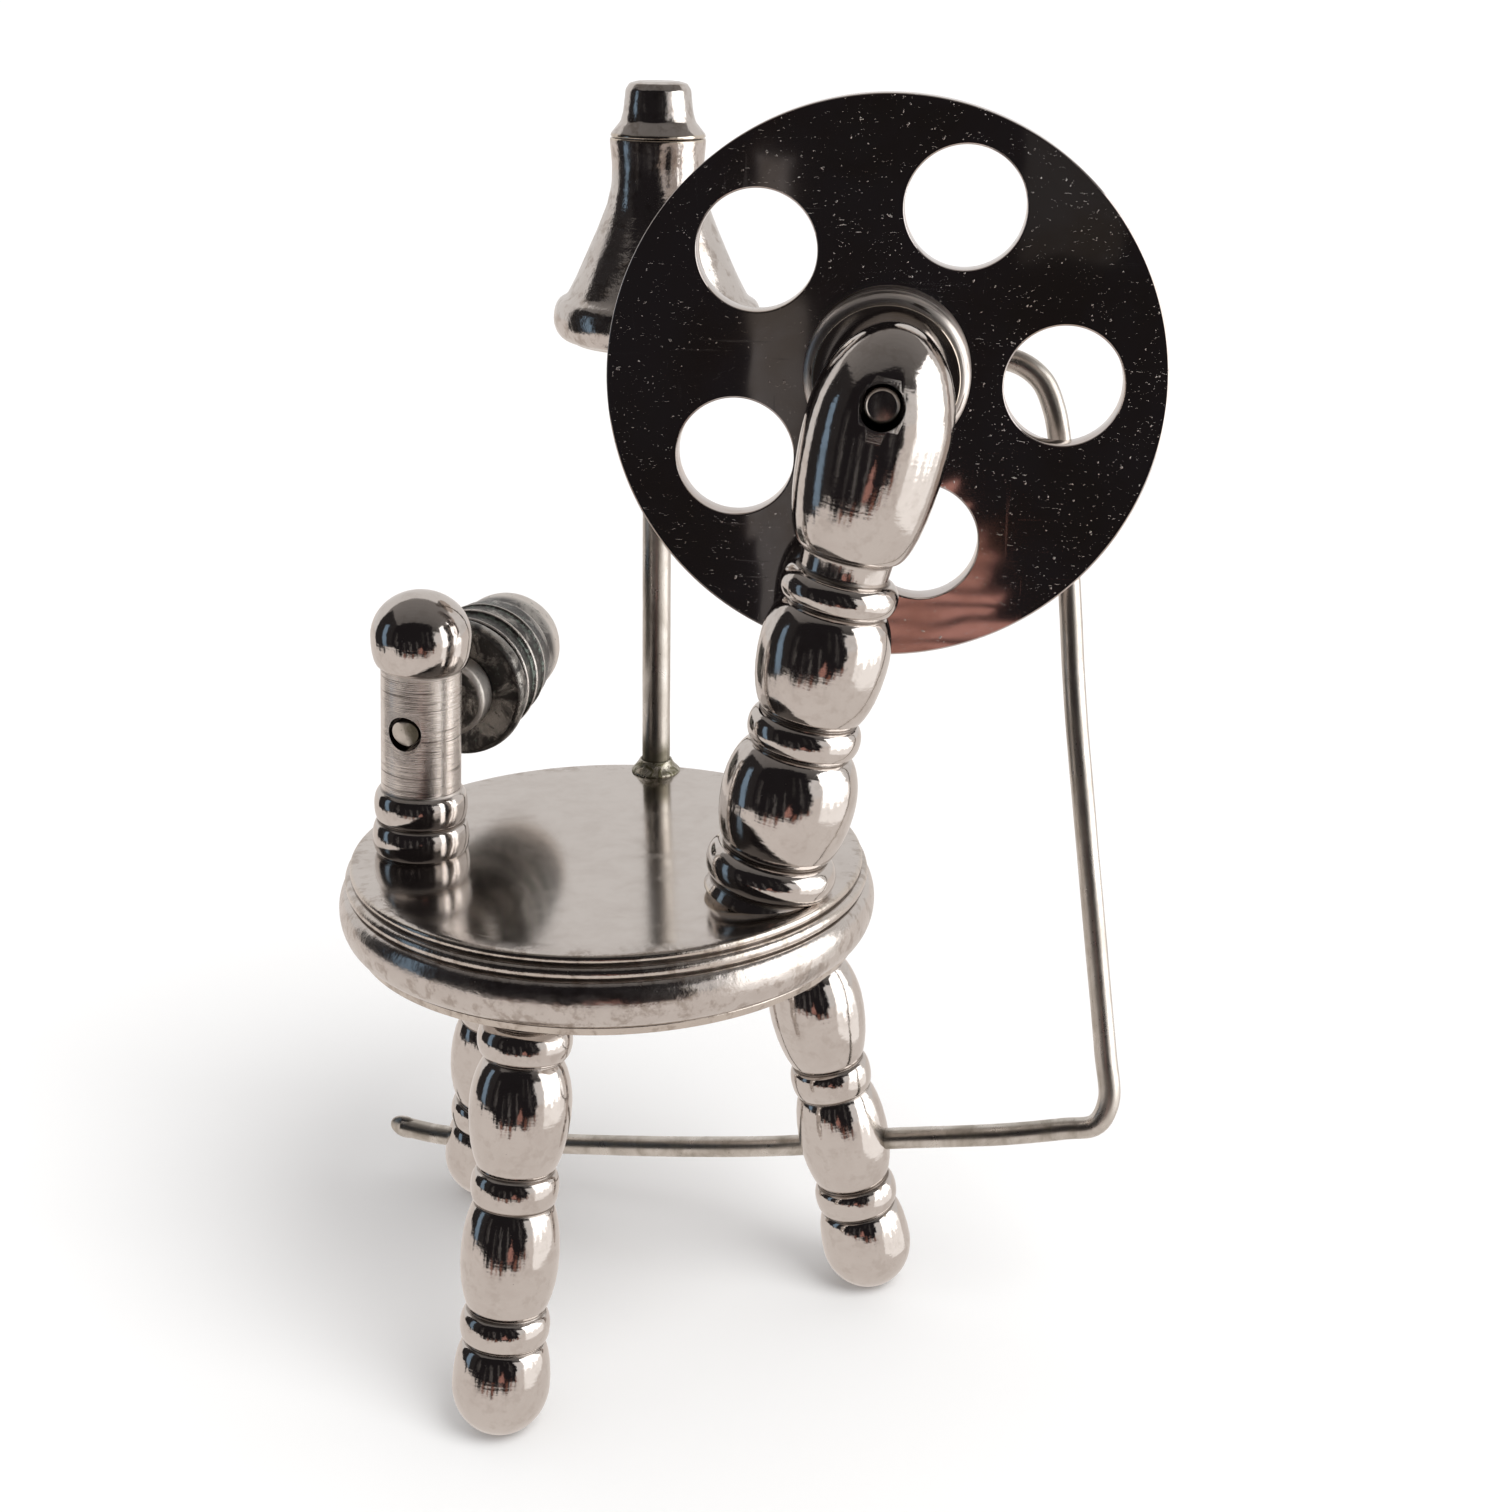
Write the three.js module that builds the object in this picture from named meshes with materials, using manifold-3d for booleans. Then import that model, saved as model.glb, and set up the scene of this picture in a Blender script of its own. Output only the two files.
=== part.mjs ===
// Miniature spinning wheel, turned and cut from plated brass. Millimetres, +Z up.
// The wheel axle runs along Y. While it is being laid out, the table axis stands at
// X = Y = 0 and the feet stand at Z = 0; the last step centres the whole on its footprint.
import * as THREE from 'three';
import { mergeVertices } from 'three/addons/utils/BufferGeometryUtils.js';
import Module from 'manifold-3d';

const wasm = await Module();
wasm.setup();

// ---- Driving dimensions -------------------------------------------------------------

const ROUND = 24;                // facets round an ordinary turned piece
const FIT = 0.1;                 // gap where one fixed piece enters or meets another
const RUNNING_FIT = 0.08;        // radial gap where a piece turns on its pin

const TABLE_TOP = 38.4;          // height of the flat of the table
const TABLE_THICKNESS = 6.1;
const TABLE_FLAT_RADIUS = 18.9;
const TABLE_BEAD_RADIUS = 20.4;
const TABLE_STEP_RADIUS = 19.2;  // groove under the lip, and the step under the bead
const TABLE_BOTTOM = TABLE_TOP - TABLE_THICKNESS;

const TENON_RADIUS = 1.5;        // turned spigot that holds a leg or a post in the table
const TENON_LENGTH = 2.6;

const LEGS = [                   // angle from +X and radius of each leg, at the table and at the foot
  { name: 'leg_front_left', topAngle: -104, topRadius: 15.4, footAngle: -107.5, footRadius: 19.95 },
  { name: 'leg_right', topAngle: 7.5, topRadius: 14.6, footAngle: 7, footRadius: 20.45 },
  { name: 'leg_back_left', topAngle: 134, topRadius: 14.6, footAngle: 134, footRadius: 19.6 },
];
const FOOT_RADIUS = 3.6;

const AXLE_X = 20.55;            // the wheel axle, along Y
const AXLE_Z = 74.75;
const AXLE_RADIUS = 1.25;
const AXLE_FRONT_Y = -11.0;
const AXLE_BACK_Y = 9.6;
const AXLE_CHAMFER = 0.25;

const WHEEL_RADIUS = 20;
const WHEEL_FRONT_Y = 2.1;
const WHEEL_THICKNESS = 2.2;
const WHEEL_HOLE_RADIUS = 4.25;
const WHEEL_HOLE_CIRCLE = 12.55;
const WHEEL_HOLE_ANGLES = [65.5, 137.9, 209.8, 281.8, 356.2];   // from +X towards +Z
const WHEEL_RUNOUT_X = -0.15;    // the rim was cut a little out of true with the bore
const WHEEL_RUNOUT_Z = -0.95;

const HUB_RADIUS = 5.95;
const HUB_LENGTH = 2.4;
const WASHER_RADIUS = 5.2;
const WASHER_THICKNESS = 0.8;
const COLLAR_RADIUS = 3.0;
const COLLAR_LENGTH = 3.6;

const WHEEL_POST_X = 12.6;       // centre of its foot on the table
const WHEEL_POST_Y = -6.9;
const WHEEL_POST_LEAN = 12.6;    // degrees towards +X
const AXLE_HOLE_RADIUS = 1.53;   // cross hole in the head of the wheel post

const FLYER_POST_X = -14.25;
const FLYER_POST_Y = -0.9;
const FLYER_POST_LEAN = 3;       // degrees towards +X
const FLYER_PIN_RADIUS = 1.0;
const FLYER_HOLE_RADIUS = 1.32;
const FLYER_PIN_OFFSET = -0.25;   // the cross hole is drilled a little off the post's axis
const FLYER_PIN_Z = 48.6;
const FLYER_PIN_YAW = -8.2;      // degrees about Z, so that it points back and a little to +X
const FLYER_PIN_FRONT = -2.2;    // start and length, along the pin, from the post's axis
const FLYER_PIN_LENGTH = 24.6;

const ROD_X = 1.5;
const ROD_Y = 18.0;
const ROD_LEAN = 1.05;           // degrees towards +X
const ROD_RADIUS = 1.15;
const ROD_LENGTH = 52.9;         // above the table
const BELL_AT = 35.7;            // how far up the rod the bell and its finial sit
const BELL_LENGTH = 15.6;

const WIRE_RADIUS = 0.85;

// ---- Geometry helpers ---------------------------------------------------------------

const radians = THREE.MathUtils.degToRad;

// A turned solid about Z. The profile is a list of [radius, height] from bottom to top.
function turned(profile, facets = ROUND) {
  const points = profile.map(([radius, height]) => new THREE.Vector2(radius, height));
  return new THREE.LatheGeometry(points, facets).rotateX(Math.PI / 2);
}

// Profile points of a swelling: out to the widest point and back in, in quarter ellipses, or
// in softer arcs where slimness is above 1.
function swell([lowR, lowZ], [wideR, wideZ], [highR, highZ], steps = 3, slimness = 1) {
  const points = [];
  for (let i = 0; i <= 2 * steps; i += 1) {
    const turn = (i / steps - 1) * (Math.PI / 2);
    const endR = turn < 0 ? lowR : highR;
    const endZ = turn < 0 ? lowZ : highZ;
    points.push([
      endR + (wideR - endR) * Math.cos(turn) ** slimness,
      wideZ + Math.abs(Math.sin(turn)) * (endZ - wideZ),
    ]);
  }
  return points;
}

// A straight round bar about Z between two heights.
function bar(radius, low, high, facets = ROUND) {
  return turned([[0, low], [radius, low], [radius, high], [0, high]], facets);
}

// A ring about Z with a plain bore.
function ring(bore, radius, low, high, edge = 0.2, facets = ROUND) {
  const profile = [
    [bore, low], [radius - edge, low], [radius, low + edge],
    [radius, high - edge], [radius - edge, high], [bore, high], [bore, low],
  ];
  return turned(profile, facets);
}

// Turns a piece made about Z so that it lies along Y, its low end at the front.
function alongY(geometry) {
  return geometry.rotateX(-Math.PI / 2);
}

// A closed manifold-3d solid from a three.js geometry, with zero-area triangles dropped.
function solid(geometry) {
  const bare = geometry.clone();
  bare.deleteAttribute('normal');
  bare.deleteAttribute('uv');
  const merged = mergeVertices(bare, 1e-4);
  const index = merged.index.array;
  const triangles = [];
  for (let i = 0; i < index.length; i += 3) {
    const [a, b, c] = [index[i], index[i + 1], index[i + 2]];
    if (a !== b && b !== c && c !== a) triangles.push(a, b, c);
  }
  return new wasm.Manifold(new wasm.Mesh({
    numProp: 3,
    vertProperties: new Float32Array(merged.attributes.position.array),
    triVerts: new Uint32Array(triangles),
  }));
}

// A three.js geometry again, from a manifold-3d solid.
function geometryOf(manifold) {
  const mesh = manifold.getMesh();
  const geometry = new THREE.BufferGeometry();
  geometry.setAttribute('position', new THREE.BufferAttribute(mesh.vertProperties, 3));
  geometry.setIndex(new THREE.BufferAttribute(mesh.triVerts, 1));
  geometry.computeVertexNormals();
  return geometry;
}

// Cuts each of the tools out of a geometry.
function cut(geometry, ...tools) {
  return geometryOf(tools.reduce((left, tool) => left.subtract(solid(tool)), solid(geometry)));
}

// A level slab that removes everything above (or below) a height.
function slabFrom(height, upwards) {
  const size = 200;
  const slab = new THREE.BoxGeometry(size, size, size);
  return slab.translate(0, 0, height + (upwards ? size / 2 : -size / 2));
}

// Moves a geometry made about Z so that its axis runs from one point towards another.
function aimed(geometry, from, towards) {
  const direction = new THREE.Vector3().subVectors(towards, from).normalize();
  const turn = new THREE.Quaternion().setFromUnitVectors(new THREE.Vector3(0, 0, 1), direction);
  return geometry.applyQuaternion(turn).translate(from.x, from.y, from.z);
}

const wheelMachine = new THREE.Group();

function add(name, geometry, color, roughness, metalness = 1) {
  const material = new THREE.MeshStandardMaterial({ color, roughness, metalness });
  const mesh = new THREE.Mesh(geometry, material);
  mesh.name = name;
  wheelMachine.add(mesh);
  return mesh;
}

const NICKEL = 0xb9b0a8;
const DARK_MIRROR = 0x8f8a88;
const WIRE_GREY = 0xa39a8f;
const OLD_PEWTER = 0x77736c;

// ---- Footman wire: one length, bent by hand and sprung through two of the legs -------

const wirePath = new THREE.CatmullRomCurve3([
  [AXLE_X + AXLE_RADIUS + 0.15, 8.0, AXLE_Z],
  [25.0, 8.0, AXLE_Z],
  [29.6, 8.0, AXLE_Z],
  [31.7, 8.0, 73.4],
  [32.7, 7.9, 71.4],
  [33.4, 7.6, 68.0],
  [34.4, 5.8, 58.0],
  [35.1, 4.1, 50.0],
  [36.5, 1.9, 38.5],
  [38.4, -1.1, 23.4],
  [38.8, -2.0, 19.6],
  [37.9, -2.2, 17.6],
  [35.6, -1.6, 16.8],
  [30.7, -0.4, 15.4],
  [22.2, 1.5, 13.6],
  [18.5, 2.5, 12.6],
  [13.8, 4.1, 11.1],
  [6.1, 6.8, 9.1],
  [-2.8, 9.9, 7.1],
  [-12.1, 13.1, 5.3],
  [-18.2, 15.2, 4.5],
  [-21.4, 16.3, 4.5],
].map((point) => new THREE.Vector3(...point)), false, 'centripetal');

function wireSection(sides = 8) {
  const corners = [];
  for (let i = 0; i < sides; i += 1) {
    const turn = (i / sides) * 2 * Math.PI;
    corners.push(new THREE.Vector2(Math.cos(turn), Math.sin(turn)).multiplyScalar(WIRE_RADIUS));
  }
  return new THREE.Shape(corners);
}

const wireTube = new THREE.ExtrudeGeometry(wireSection(), { steps: 60, extrudePath: wirePath });
const wireEnd = new THREE.SphereGeometry(1, 10, 6).scale(1.5, 0.55, 1.05)
  .rotateZ(radians(-19)).translate(-21.3, 16.25, 4.5);
add('footman_wire', geometryOf(solid(wireTube).add(solid(wireEnd))), WIRE_GREY, 0.25);

// The straight bore that the wire needs near a point of its path.
function wireBore(x) {
  const samples = wirePath.getSpacedPoints(400);
  const near = samples.reduce((best, point, i) => (
    point.z < 20 && Math.abs(point.x - x) < Math.abs(samples[best].x - x) ? i : best), 300);
  const bore = bar(WIRE_RADIUS + 0.15, -6, 6, 12);
  return aimed(bore, samples[near], samples[Math.min(near + 6, 400)]);
}

// ---- Table ---------------------------------------------------------------------------

const tableProfile = [
  [0, TABLE_BOTTOM], [TABLE_STEP_RADIUS, TABLE_BOTTOM], [TABLE_STEP_RADIUS, TABLE_BOTTOM + 0.7],
  ...swell([TABLE_STEP_RADIUS + 0.2, TABLE_BOTTOM + 0.8], [TABLE_BEAD_RADIUS, TABLE_TOP - 3.4],
    [TABLE_STEP_RADIUS + 0.35, TABLE_TOP - 1.75], 2),
  [TABLE_STEP_RADIUS + 0.6, TABLE_TOP - 1.3], [TABLE_STEP_RADIUS + 0.5, TABLE_TOP - 0.95],
  [TABLE_STEP_RADIUS + 0.1, TABLE_TOP - 0.7], [TABLE_FLAT_RADIUS + 0.55, TABLE_TOP - 0.4],
  [TABLE_FLAT_RADIUS + 0.4, TABLE_TOP - 0.1], [TABLE_FLAT_RADIUS, TABLE_TOP], [0, TABLE_TOP],
];

function polar(radius, angle, height) {
  return new THREE.Vector3(radius, 0, height)
    .applyAxisAngle(new THREE.Vector3(0, 0, 1), radians(angle));
}

const legEnds = LEGS.map(({ name, topAngle, topRadius, footAngle, footRadius }) => ({
  name,
  foot: polar(footRadius, footAngle, FOOT_RADIUS - 0.3),
  top: polar(topRadius, topAngle, TABLE_BOTTOM),
}));

function postTop(x, y, lean, length) {
  return new THREE.Vector3(x + length * Math.sin(radians(lean)), y,
    TABLE_TOP + length * Math.cos(radians(lean)));
}
const wheelPostFoot = new THREE.Vector3(WHEEL_POST_X, WHEEL_POST_Y, TABLE_TOP);
const wheelPostTop = postTop(WHEEL_POST_X, WHEEL_POST_Y, WHEEL_POST_LEAN, 40);
const flyerPostFoot = new THREE.Vector3(FLYER_POST_X, FLYER_POST_Y, TABLE_TOP);
const flyerPostTop = postTop(FLYER_POST_X, FLYER_POST_Y, FLYER_POST_LEAN, 20);

const rodFoot = new THREE.Vector3(ROD_X, ROD_Y, TABLE_TOP);
const rodTop = postTop(ROD_X, ROD_Y, ROD_LEAN, ROD_LENGTH);

const socket = () => bar(TENON_RADIUS + FIT, -TENON_LENGTH - 0.2, 1, 16);
add('table', cut(
  turned(tableProfile, 36),
  ...legEnds.map(({ foot, top }) => aimed(socket(), top, foot)),
  aimed(socket(), wheelPostFoot, wheelPostTop),
  aimed(socket(), flyerPostFoot, flyerPostTop),
  aimed(bar(ROD_RADIUS + FIT, -3.6, 1, 16), rodFoot, rodTop),
), NICKEL, 0.14);

// ---- Legs ----------------------------------------------------------------------------

// One leg about its own axis, height 0 at the centre of its ball foot.
const legProfile = [
  ...swell([0, -FOOT_RADIUS], [FOOT_RADIUS, 0.3], [2.85, 3.7]),
  ...swell([2.9, 3.8], [3.3, 5.0], [2.85, 6.2], 2),
  ...swell([2.8, 6.3], [3.6, 10.4], [2.9, 14.5], 3, 1.5),
  ...swell([2.85, 14.6], [3.2, 15.9], [2.8, 17.1], 2),
  ...swell([2.75, 17.2], [3.7, 22.0], [2.75, 25.6], 3, 1.5),
  ...swell([2.8, 25.7], [3.42, 27.0], [2.7, 28.3], 2),
  [2.7, 32], [0, 32],
];

for (const { name, foot, top } of legEnds) {
  const body = aimed(turned(legProfile, 18), foot, top);
  const trims = [slabFrom(TABLE_BOTTOM - FIT, true), slabFrom(0, false)];
  if (name !== 'leg_front_left') trims.push(wireBore(name === 'leg_right' ? 19.2 : -13.0));
  const trimmed = trims.reduce((left, tool) => left.subtract(solid(tool)), solid(body));
  const tenon = aimed(bar(TENON_RADIUS, -TENON_LENGTH, 2, 16), top, foot);
  add(name, geometryOf(trimmed.add(solid(tenon))), NICKEL, 0.08);
}

// ---- Wheel post and flyer post ---------------------------------------------------------

const wheelPostProfile = [
  [0, -2], [3.9, -2], [4.4, 0], [4.2, 0.6],
  ...swell([4.1, 0.7], [4.8, 2.0], [3.9, 3.3], 2),
  ...swell([3.75, 3.4], [4.9, 7.7], [3.55, 11.4], 3, 1.25),
  ...swell([3.5, 11.5], [4.1, 12.7], [3.45, 13.9], 2),
  ...swell([3.4, 14.0], [4.65, 18.8], [3.5, 22.2], 3, 1.25),
  ...swell([3.5, 22.3], [4.2, 23.4], [3.3, 24.6], 2),
  [3.15, 24.8], [3.25, 26.0],
  ...swell([3.4, 26.2], [5.1, 34.6], [0, 42.2], 4),
];

const flyerPostProfile = [
  [0, -2], [3.3, -2],
  ...swell([3.3, 0.0], [3.65, 1.2], [3.2, 2.5], 2),
  ...swell([3.2, 2.6], [3.52, 3.8], [3.05, 5.0], 2),
  [3.0, 5.1], [3.0, 14.6],
  ...swell([3.1, 14.7], [3.73, 17.0], [0, 20.4]),
];

function post(name, profile, foot, top, crossHole) {
  const body = solid(aimed(turned(profile), foot, top));
  const seated = body.subtract(solid(slabFrom(TABLE_TOP + FIT, false)));
  const tenon = aimed(bar(TENON_RADIUS, -TENON_LENGTH, 2, 16), foot, top);
  const whole = seated.add(solid(tenon)).subtract(solid(crossHole));
  add(name, geometryOf(whole), NICKEL, 0.08);
}

const axleHole = alongY(bar(AXLE_HOLE_RADIUS, -20, 5)).translate(AXLE_X, 0, AXLE_Z);
post('wheel_post', wheelPostProfile, wheelPostFoot, wheelPostTop, axleHole);

// The flyer pin crosses its post at this point and points back along this direction.
const flyerPinAt = new THREE.Vector3(
  FLYER_POST_X + (FLYER_PIN_Z - TABLE_TOP) * Math.tan(radians(FLYER_POST_LEAN)) + FLYER_PIN_OFFSET,
  FLYER_POST_Y, FLYER_PIN_Z);
const flyerAhead = new THREE.Vector3(0, 1, 0)
  .applyAxisAngle(new THREE.Vector3(0, 0, 1), radians(FLYER_PIN_YAW)).add(flyerPinAt);

const flyerHole = aimed(bar(FLYER_HOLE_RADIUS, -6, 6), flyerPinAt, flyerAhead);
post('flyer_post', flyerPostProfile, flyerPostFoot, flyerPostTop, flyerHole);

// ---- Wheel: disc, hub and washer on a fixed axle ---------------------------------------

const axleProfile = [
  [0, AXLE_FRONT_Y], [AXLE_RADIUS - AXLE_CHAMFER, AXLE_FRONT_Y],
  [AXLE_RADIUS, AXLE_FRONT_Y + AXLE_CHAMFER], [AXLE_RADIUS, AXLE_BACK_Y], [0, AXLE_BACK_Y],
];
add('wheel_axle', alongY(turned(axleProfile)), NICKEL, 0.12).position.set(AXLE_X, 0, AXLE_Z);

const wheelBore = AXLE_RADIUS + RUNNING_FIT;
const discProfile = [
  [0, 0], [WHEEL_RADIUS - 0.2, 0], [WHEEL_RADIUS, 0.2],
  [WHEEL_RADIUS, WHEEL_THICKNESS - 0.2], [WHEEL_RADIUS - 0.2, WHEEL_THICKNESS], [0, WHEEL_THICKNESS],
];
const discBlank = turned(discProfile, 60).translate(WHEEL_RUNOUT_X, -WHEEL_RUNOUT_Z, 0);
const discHoles = WHEEL_HOLE_ANGLES.map((angle) => (
  bar(WHEEL_HOLE_RADIUS, -1, WHEEL_THICKNESS + 1, 24).translate(
    WHEEL_HOLE_CIRCLE * Math.cos(radians(angle)),
    -WHEEL_HOLE_CIRCLE * Math.sin(radians(angle)), 0)));
discHoles.push(bar(wheelBore, -1, WHEEL_THICKNESS + 1));
add('wheel_disc', alongY(cut(discBlank, ...discHoles)), DARK_MIRROR, 0.07)
  .position.set(AXLE_X, WHEEL_FRONT_Y, AXLE_Z);

const hubBack = WHEEL_FRONT_Y - 0.05;
add('wheel_hub', alongY(ring(wheelBore, HUB_RADIUS, 0, HUB_LENGTH, 0.5)), NICKEL, 0.1)
  .position.set(AXLE_X, hubBack - HUB_LENGTH, AXLE_Z);
add('hub_washer', alongY(ring(wheelBore, WASHER_RADIUS, 0, WASHER_THICKNESS)), NICKEL, 0.15)
  .position.set(AXLE_X, hubBack - HUB_LENGTH - FIT - WASHER_THICKNESS, AXLE_Z);

// The collar behind the wheel is drilled from the side for the end of the footman wire.
const collarFront = WHEEL_FRONT_Y + WHEEL_THICKNESS + 1.7;
const collarBlank = alongY(ring(AXLE_RADIUS + 0.05, COLLAR_RADIUS, 0, COLLAR_LENGTH, 0.3))
  .translate(AXLE_X, collarFront, AXLE_Z);
const collarBore = bar(WIRE_RADIUS + 0.15, 0, 6, 12).rotateY(Math.PI / 2)
  .translate(AXLE_X, 8, AXLE_Z);
add('axle_collar', cut(collarBlank, collarBore), WIRE_GREY, 0.3);

// ---- Bobbin on the flyer pin -----------------------------------------------------------

function onFlyerPin(name, geometry, color, roughness) {
  add(name, aimed(geometry, flyerPinAt, flyerAhead), color, roughness);
}

onFlyerPin('flyer_pin', bar(FLYER_PIN_RADIUS, FLYER_PIN_FRONT,
  FLYER_PIN_FRONT + FLYER_PIN_LENGTH, 16), WIRE_GREY, 0.2);

const bobbinBore = FLYER_PIN_RADIUS + RUNNING_FIT;
const BOSS_FRONT = 5.7;          // distances along the pin from the post's axis
const BOBBIN_FRONT = 8.1;
const CAP_FRONT = 18.2;
onFlyerPin('bobbin_boss', ring(bobbinBore, 3.1, BOSS_FRONT, BOBBIN_FRONT - 0.1, 0.4, 20),
  OLD_PEWTER, 0.4);
const bobbinProfile = [
  [bobbinBore, 0], [5.2, 0], [5.5, 0.3], [5.5, 1.5], [5.0, 1.8], [5.2, 2.2],
  [5.2, 4.8], [4.75, 5.1], [4.95, 5.5], [4.9, 9.5], [4.5, 9.8],
  [4.5, CAP_FRONT - BOBBIN_FRONT - 0.1], [bobbinBore, CAP_FRONT - BOBBIN_FRONT - 0.1], [bobbinBore, 0],
].map(([radius, along]) => [radius, along + BOBBIN_FRONT]);
onFlyerPin('bobbin', turned(bobbinProfile, 20), OLD_PEWTER, 0.4);
const capProfile = [
  [0, 4.6], [bobbinBore, 4.6], [bobbinBore, 0], [4.35, 0],
  ...swell([4.35, 0], [4.4, 2.2], [0, 6.5], 3).slice(3),
].map(([radius, along]) => [radius, along + CAP_FRONT]);
onFlyerPin('bobbin_cap', turned(capProfile, 20), OLD_PEWTER, 0.3);

// ---- Distaff ---------------------------------------------------------------------------

function onRod(name, geometry, color, roughness) {
  add(name, aimed(geometry, rodFoot, rodTop), color, roughness);
}

onRod('distaff_rod', bar(ROD_RADIUS, -3.4, ROD_LENGTH, 16), WIRE_GREY, 0.15);
const rodBore = ROD_RADIUS + 0.05;
const filletProfile = [
  [rodBore, FIT], [2.1, FIT], [1.75, 0.45], [1.35, 1.1], [rodBore, 1.1], [rodBore, FIT],
];
onRod('rod_solder', turned(filletProfile, 16), OLD_PEWTER, 0.5);

const bellProfile = [
  [rodBore, 0], [6.4, 0],
  ...swell([6.9, 0.3], [8.1, 1.9], [7.4, 3.5], 2),
  [7.0, 3.8], [6.1, 5.5], [5.35, 7.2], [4.6, 8.9], [3.9, 10.6],
  [3.55, 12.2], [3.5, 13.5], [3.7, BELL_LENGTH], [rodBore, BELL_LENGTH], [rodBore, 0],
].map(([radius, height]) => [radius, height + BELL_AT]);
onRod('distaff_bell', turned(bellProfile), NICKEL, 0.12);

const finialProfile = [
  [rodBore, 0], [3.65, 0], [3.4, 0.5], [2.85, 1.2], [2.55, 2.2], [2.42, 3.3],
  [2.0, 3.8], [0, 3.9], [0, 1.9], [rodBore, 1.9], [rodBore, 0],
].map(([radius, height]) => [radius, height + BELL_AT + BELL_LENGTH + 0.1]);
onRod('distaff_finial', turned(finialProfile, 20), NICKEL, 0.12);

// ---- Centre the whole on its footprint ---------------------------------------------------

const box = new THREE.Box3().setFromObject(wheelMachine);
const middle = box.getCenter(new THREE.Vector3());
wheelMachine.position.set(-middle.x, -middle.y, -box.min.z);

export default wheelMachine;
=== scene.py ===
import math
import random

import bmesh
import bpy
import numpy as np
from mathutils import Matrix, Vector


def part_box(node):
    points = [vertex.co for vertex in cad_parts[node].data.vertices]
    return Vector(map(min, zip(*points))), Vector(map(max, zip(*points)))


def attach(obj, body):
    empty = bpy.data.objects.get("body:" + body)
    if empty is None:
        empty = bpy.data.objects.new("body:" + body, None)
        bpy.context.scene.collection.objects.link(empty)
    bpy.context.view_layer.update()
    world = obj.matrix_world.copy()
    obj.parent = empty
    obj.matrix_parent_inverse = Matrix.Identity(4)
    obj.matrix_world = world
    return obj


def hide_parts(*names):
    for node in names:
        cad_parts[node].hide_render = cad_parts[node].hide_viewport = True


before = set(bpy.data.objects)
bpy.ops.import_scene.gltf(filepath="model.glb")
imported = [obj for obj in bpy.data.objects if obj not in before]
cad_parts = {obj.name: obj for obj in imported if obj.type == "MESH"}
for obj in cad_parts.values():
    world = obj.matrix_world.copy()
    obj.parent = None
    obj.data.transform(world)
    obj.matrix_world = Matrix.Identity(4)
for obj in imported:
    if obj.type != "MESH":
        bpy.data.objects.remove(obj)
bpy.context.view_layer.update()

# ---- Camera -------------------------------------------------------------------------------------
# A close view from the front of the ornament, a little to its right and above the wheel,
# looking down on the table. It stands off the table's own axis.
MM = 0.001
table_low, table_high = (Vector(corner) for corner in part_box("table"))
table_axis = Vector(((table_low.x + table_high.x) / 2, (table_low.y + table_high.y) / 2, 0))
camera_data = bpy.data.cameras.new("view")
camera_data.sensor_width = 36
camera_data.lens = 52.38
camera_data.clip_start = 0.005
camera = bpy.data.objects.new("view", camera_data)
camera.location = table_axis + Vector((23.8, -154.5, 101.5)) * MM
camera.rotation_euler = (math.radians(90 - 19.6), 0, math.radians(4.6))
bpy.context.collection.objects.link(camera)
bpy.context.scene.camera = camera

# ---- Table --------------------------------------------------------------------------------------
# The round seat that everything stands on: a brass disc turned on the lathe with a flat top, and a
# lip, a thin ring and a fat bead round its edge, nickel plated and buffed to a satin mirror.
TABLE_TOP = table_high.z / MM
TABLE_BOTTOM = table_low.z / MM


def swell(low, wide, high, steps=22, slimness=1.0):
    """Points of a turned bulge: quarter ellipses out to its widest place and back, or softer arcs."""
    points = []
    for end, side in ((low, -1), (high, 1)):
        for step in range(steps + 1):
            turn = math.pi / 2 * (step / steps if side == 1 else 1 - step / steps)
            radius = end[0] + (wide[0] - end[0]) * math.cos(turn) ** slimness
            points.append((radius, wide[1] + (end[1] - wide[1]) * math.sin(turn)))
    return points


def buffed(profile, step=0.05, softness=0.09):
    """The profile as it leaves the buffing wheel: every arris a little rounded over."""
    points = np.array(profile, float)
    lengths = np.hypot(*np.diff(points, axis=0).T)
    keep = np.concatenate(([True], lengths > 1e-6))
    points = points[keep]
    along = np.concatenate(([0], np.cumsum(np.hypot(*np.diff(points, axis=0).T))))
    count = max(int(along[-1] / step), 8)
    even = np.linspace(0, along[-1], count + 1)
    radius, height = np.interp(even, along, points[:, 0]), np.interp(even, along, points[:, 1])
    reach = max(int(round(2.5 * softness / step)), 1)
    weights = np.exp(-0.5 * (np.arange(-reach, reach + 1) * step / softness) ** 2)
    weights /= weights.sum()
    ends = radius[0], radius[-1]
    smooth_radius = np.convolve(np.pad(radius, reach, "reflect", reflect_type="odd"), weights, "valid")
    smooth_height = np.convolve(np.pad(height, reach, "reflect", reflect_type="odd"), weights, "valid")
    smooth_radius[0], smooth_radius[-1] = ends
    heading = np.unwrap(np.arctan2(np.gradient(smooth_height), np.gradient(smooth_radius)))
    bend = np.gradient(heading)
    window = np.ones(9)
    hollow = np.clip(np.convolve(np.maximum(-bend, 0), window, "same"), 0, 1)
    arris = np.clip(np.convolve(np.maximum(bend, 0), window, "same") - 0.3, 0, 1)
    chosen, turned, travelled = [0], 0.0, 0.0
    for place in range(1, count):
        turned += abs(bend[place])
        travelled += step
        if turned > math.radians(5) or travelled > 1.3:
            chosen.append(place)
            turned, travelled = 0.0, 0.0
    chosen.append(count)
    rows = [(max(smooth_radius[k], 0), smooth_height[k], hollow[k], arris[k]) for k in chosen]
    return rows


def link(tree, source, target):
    tree.links.new(source, target)


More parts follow.
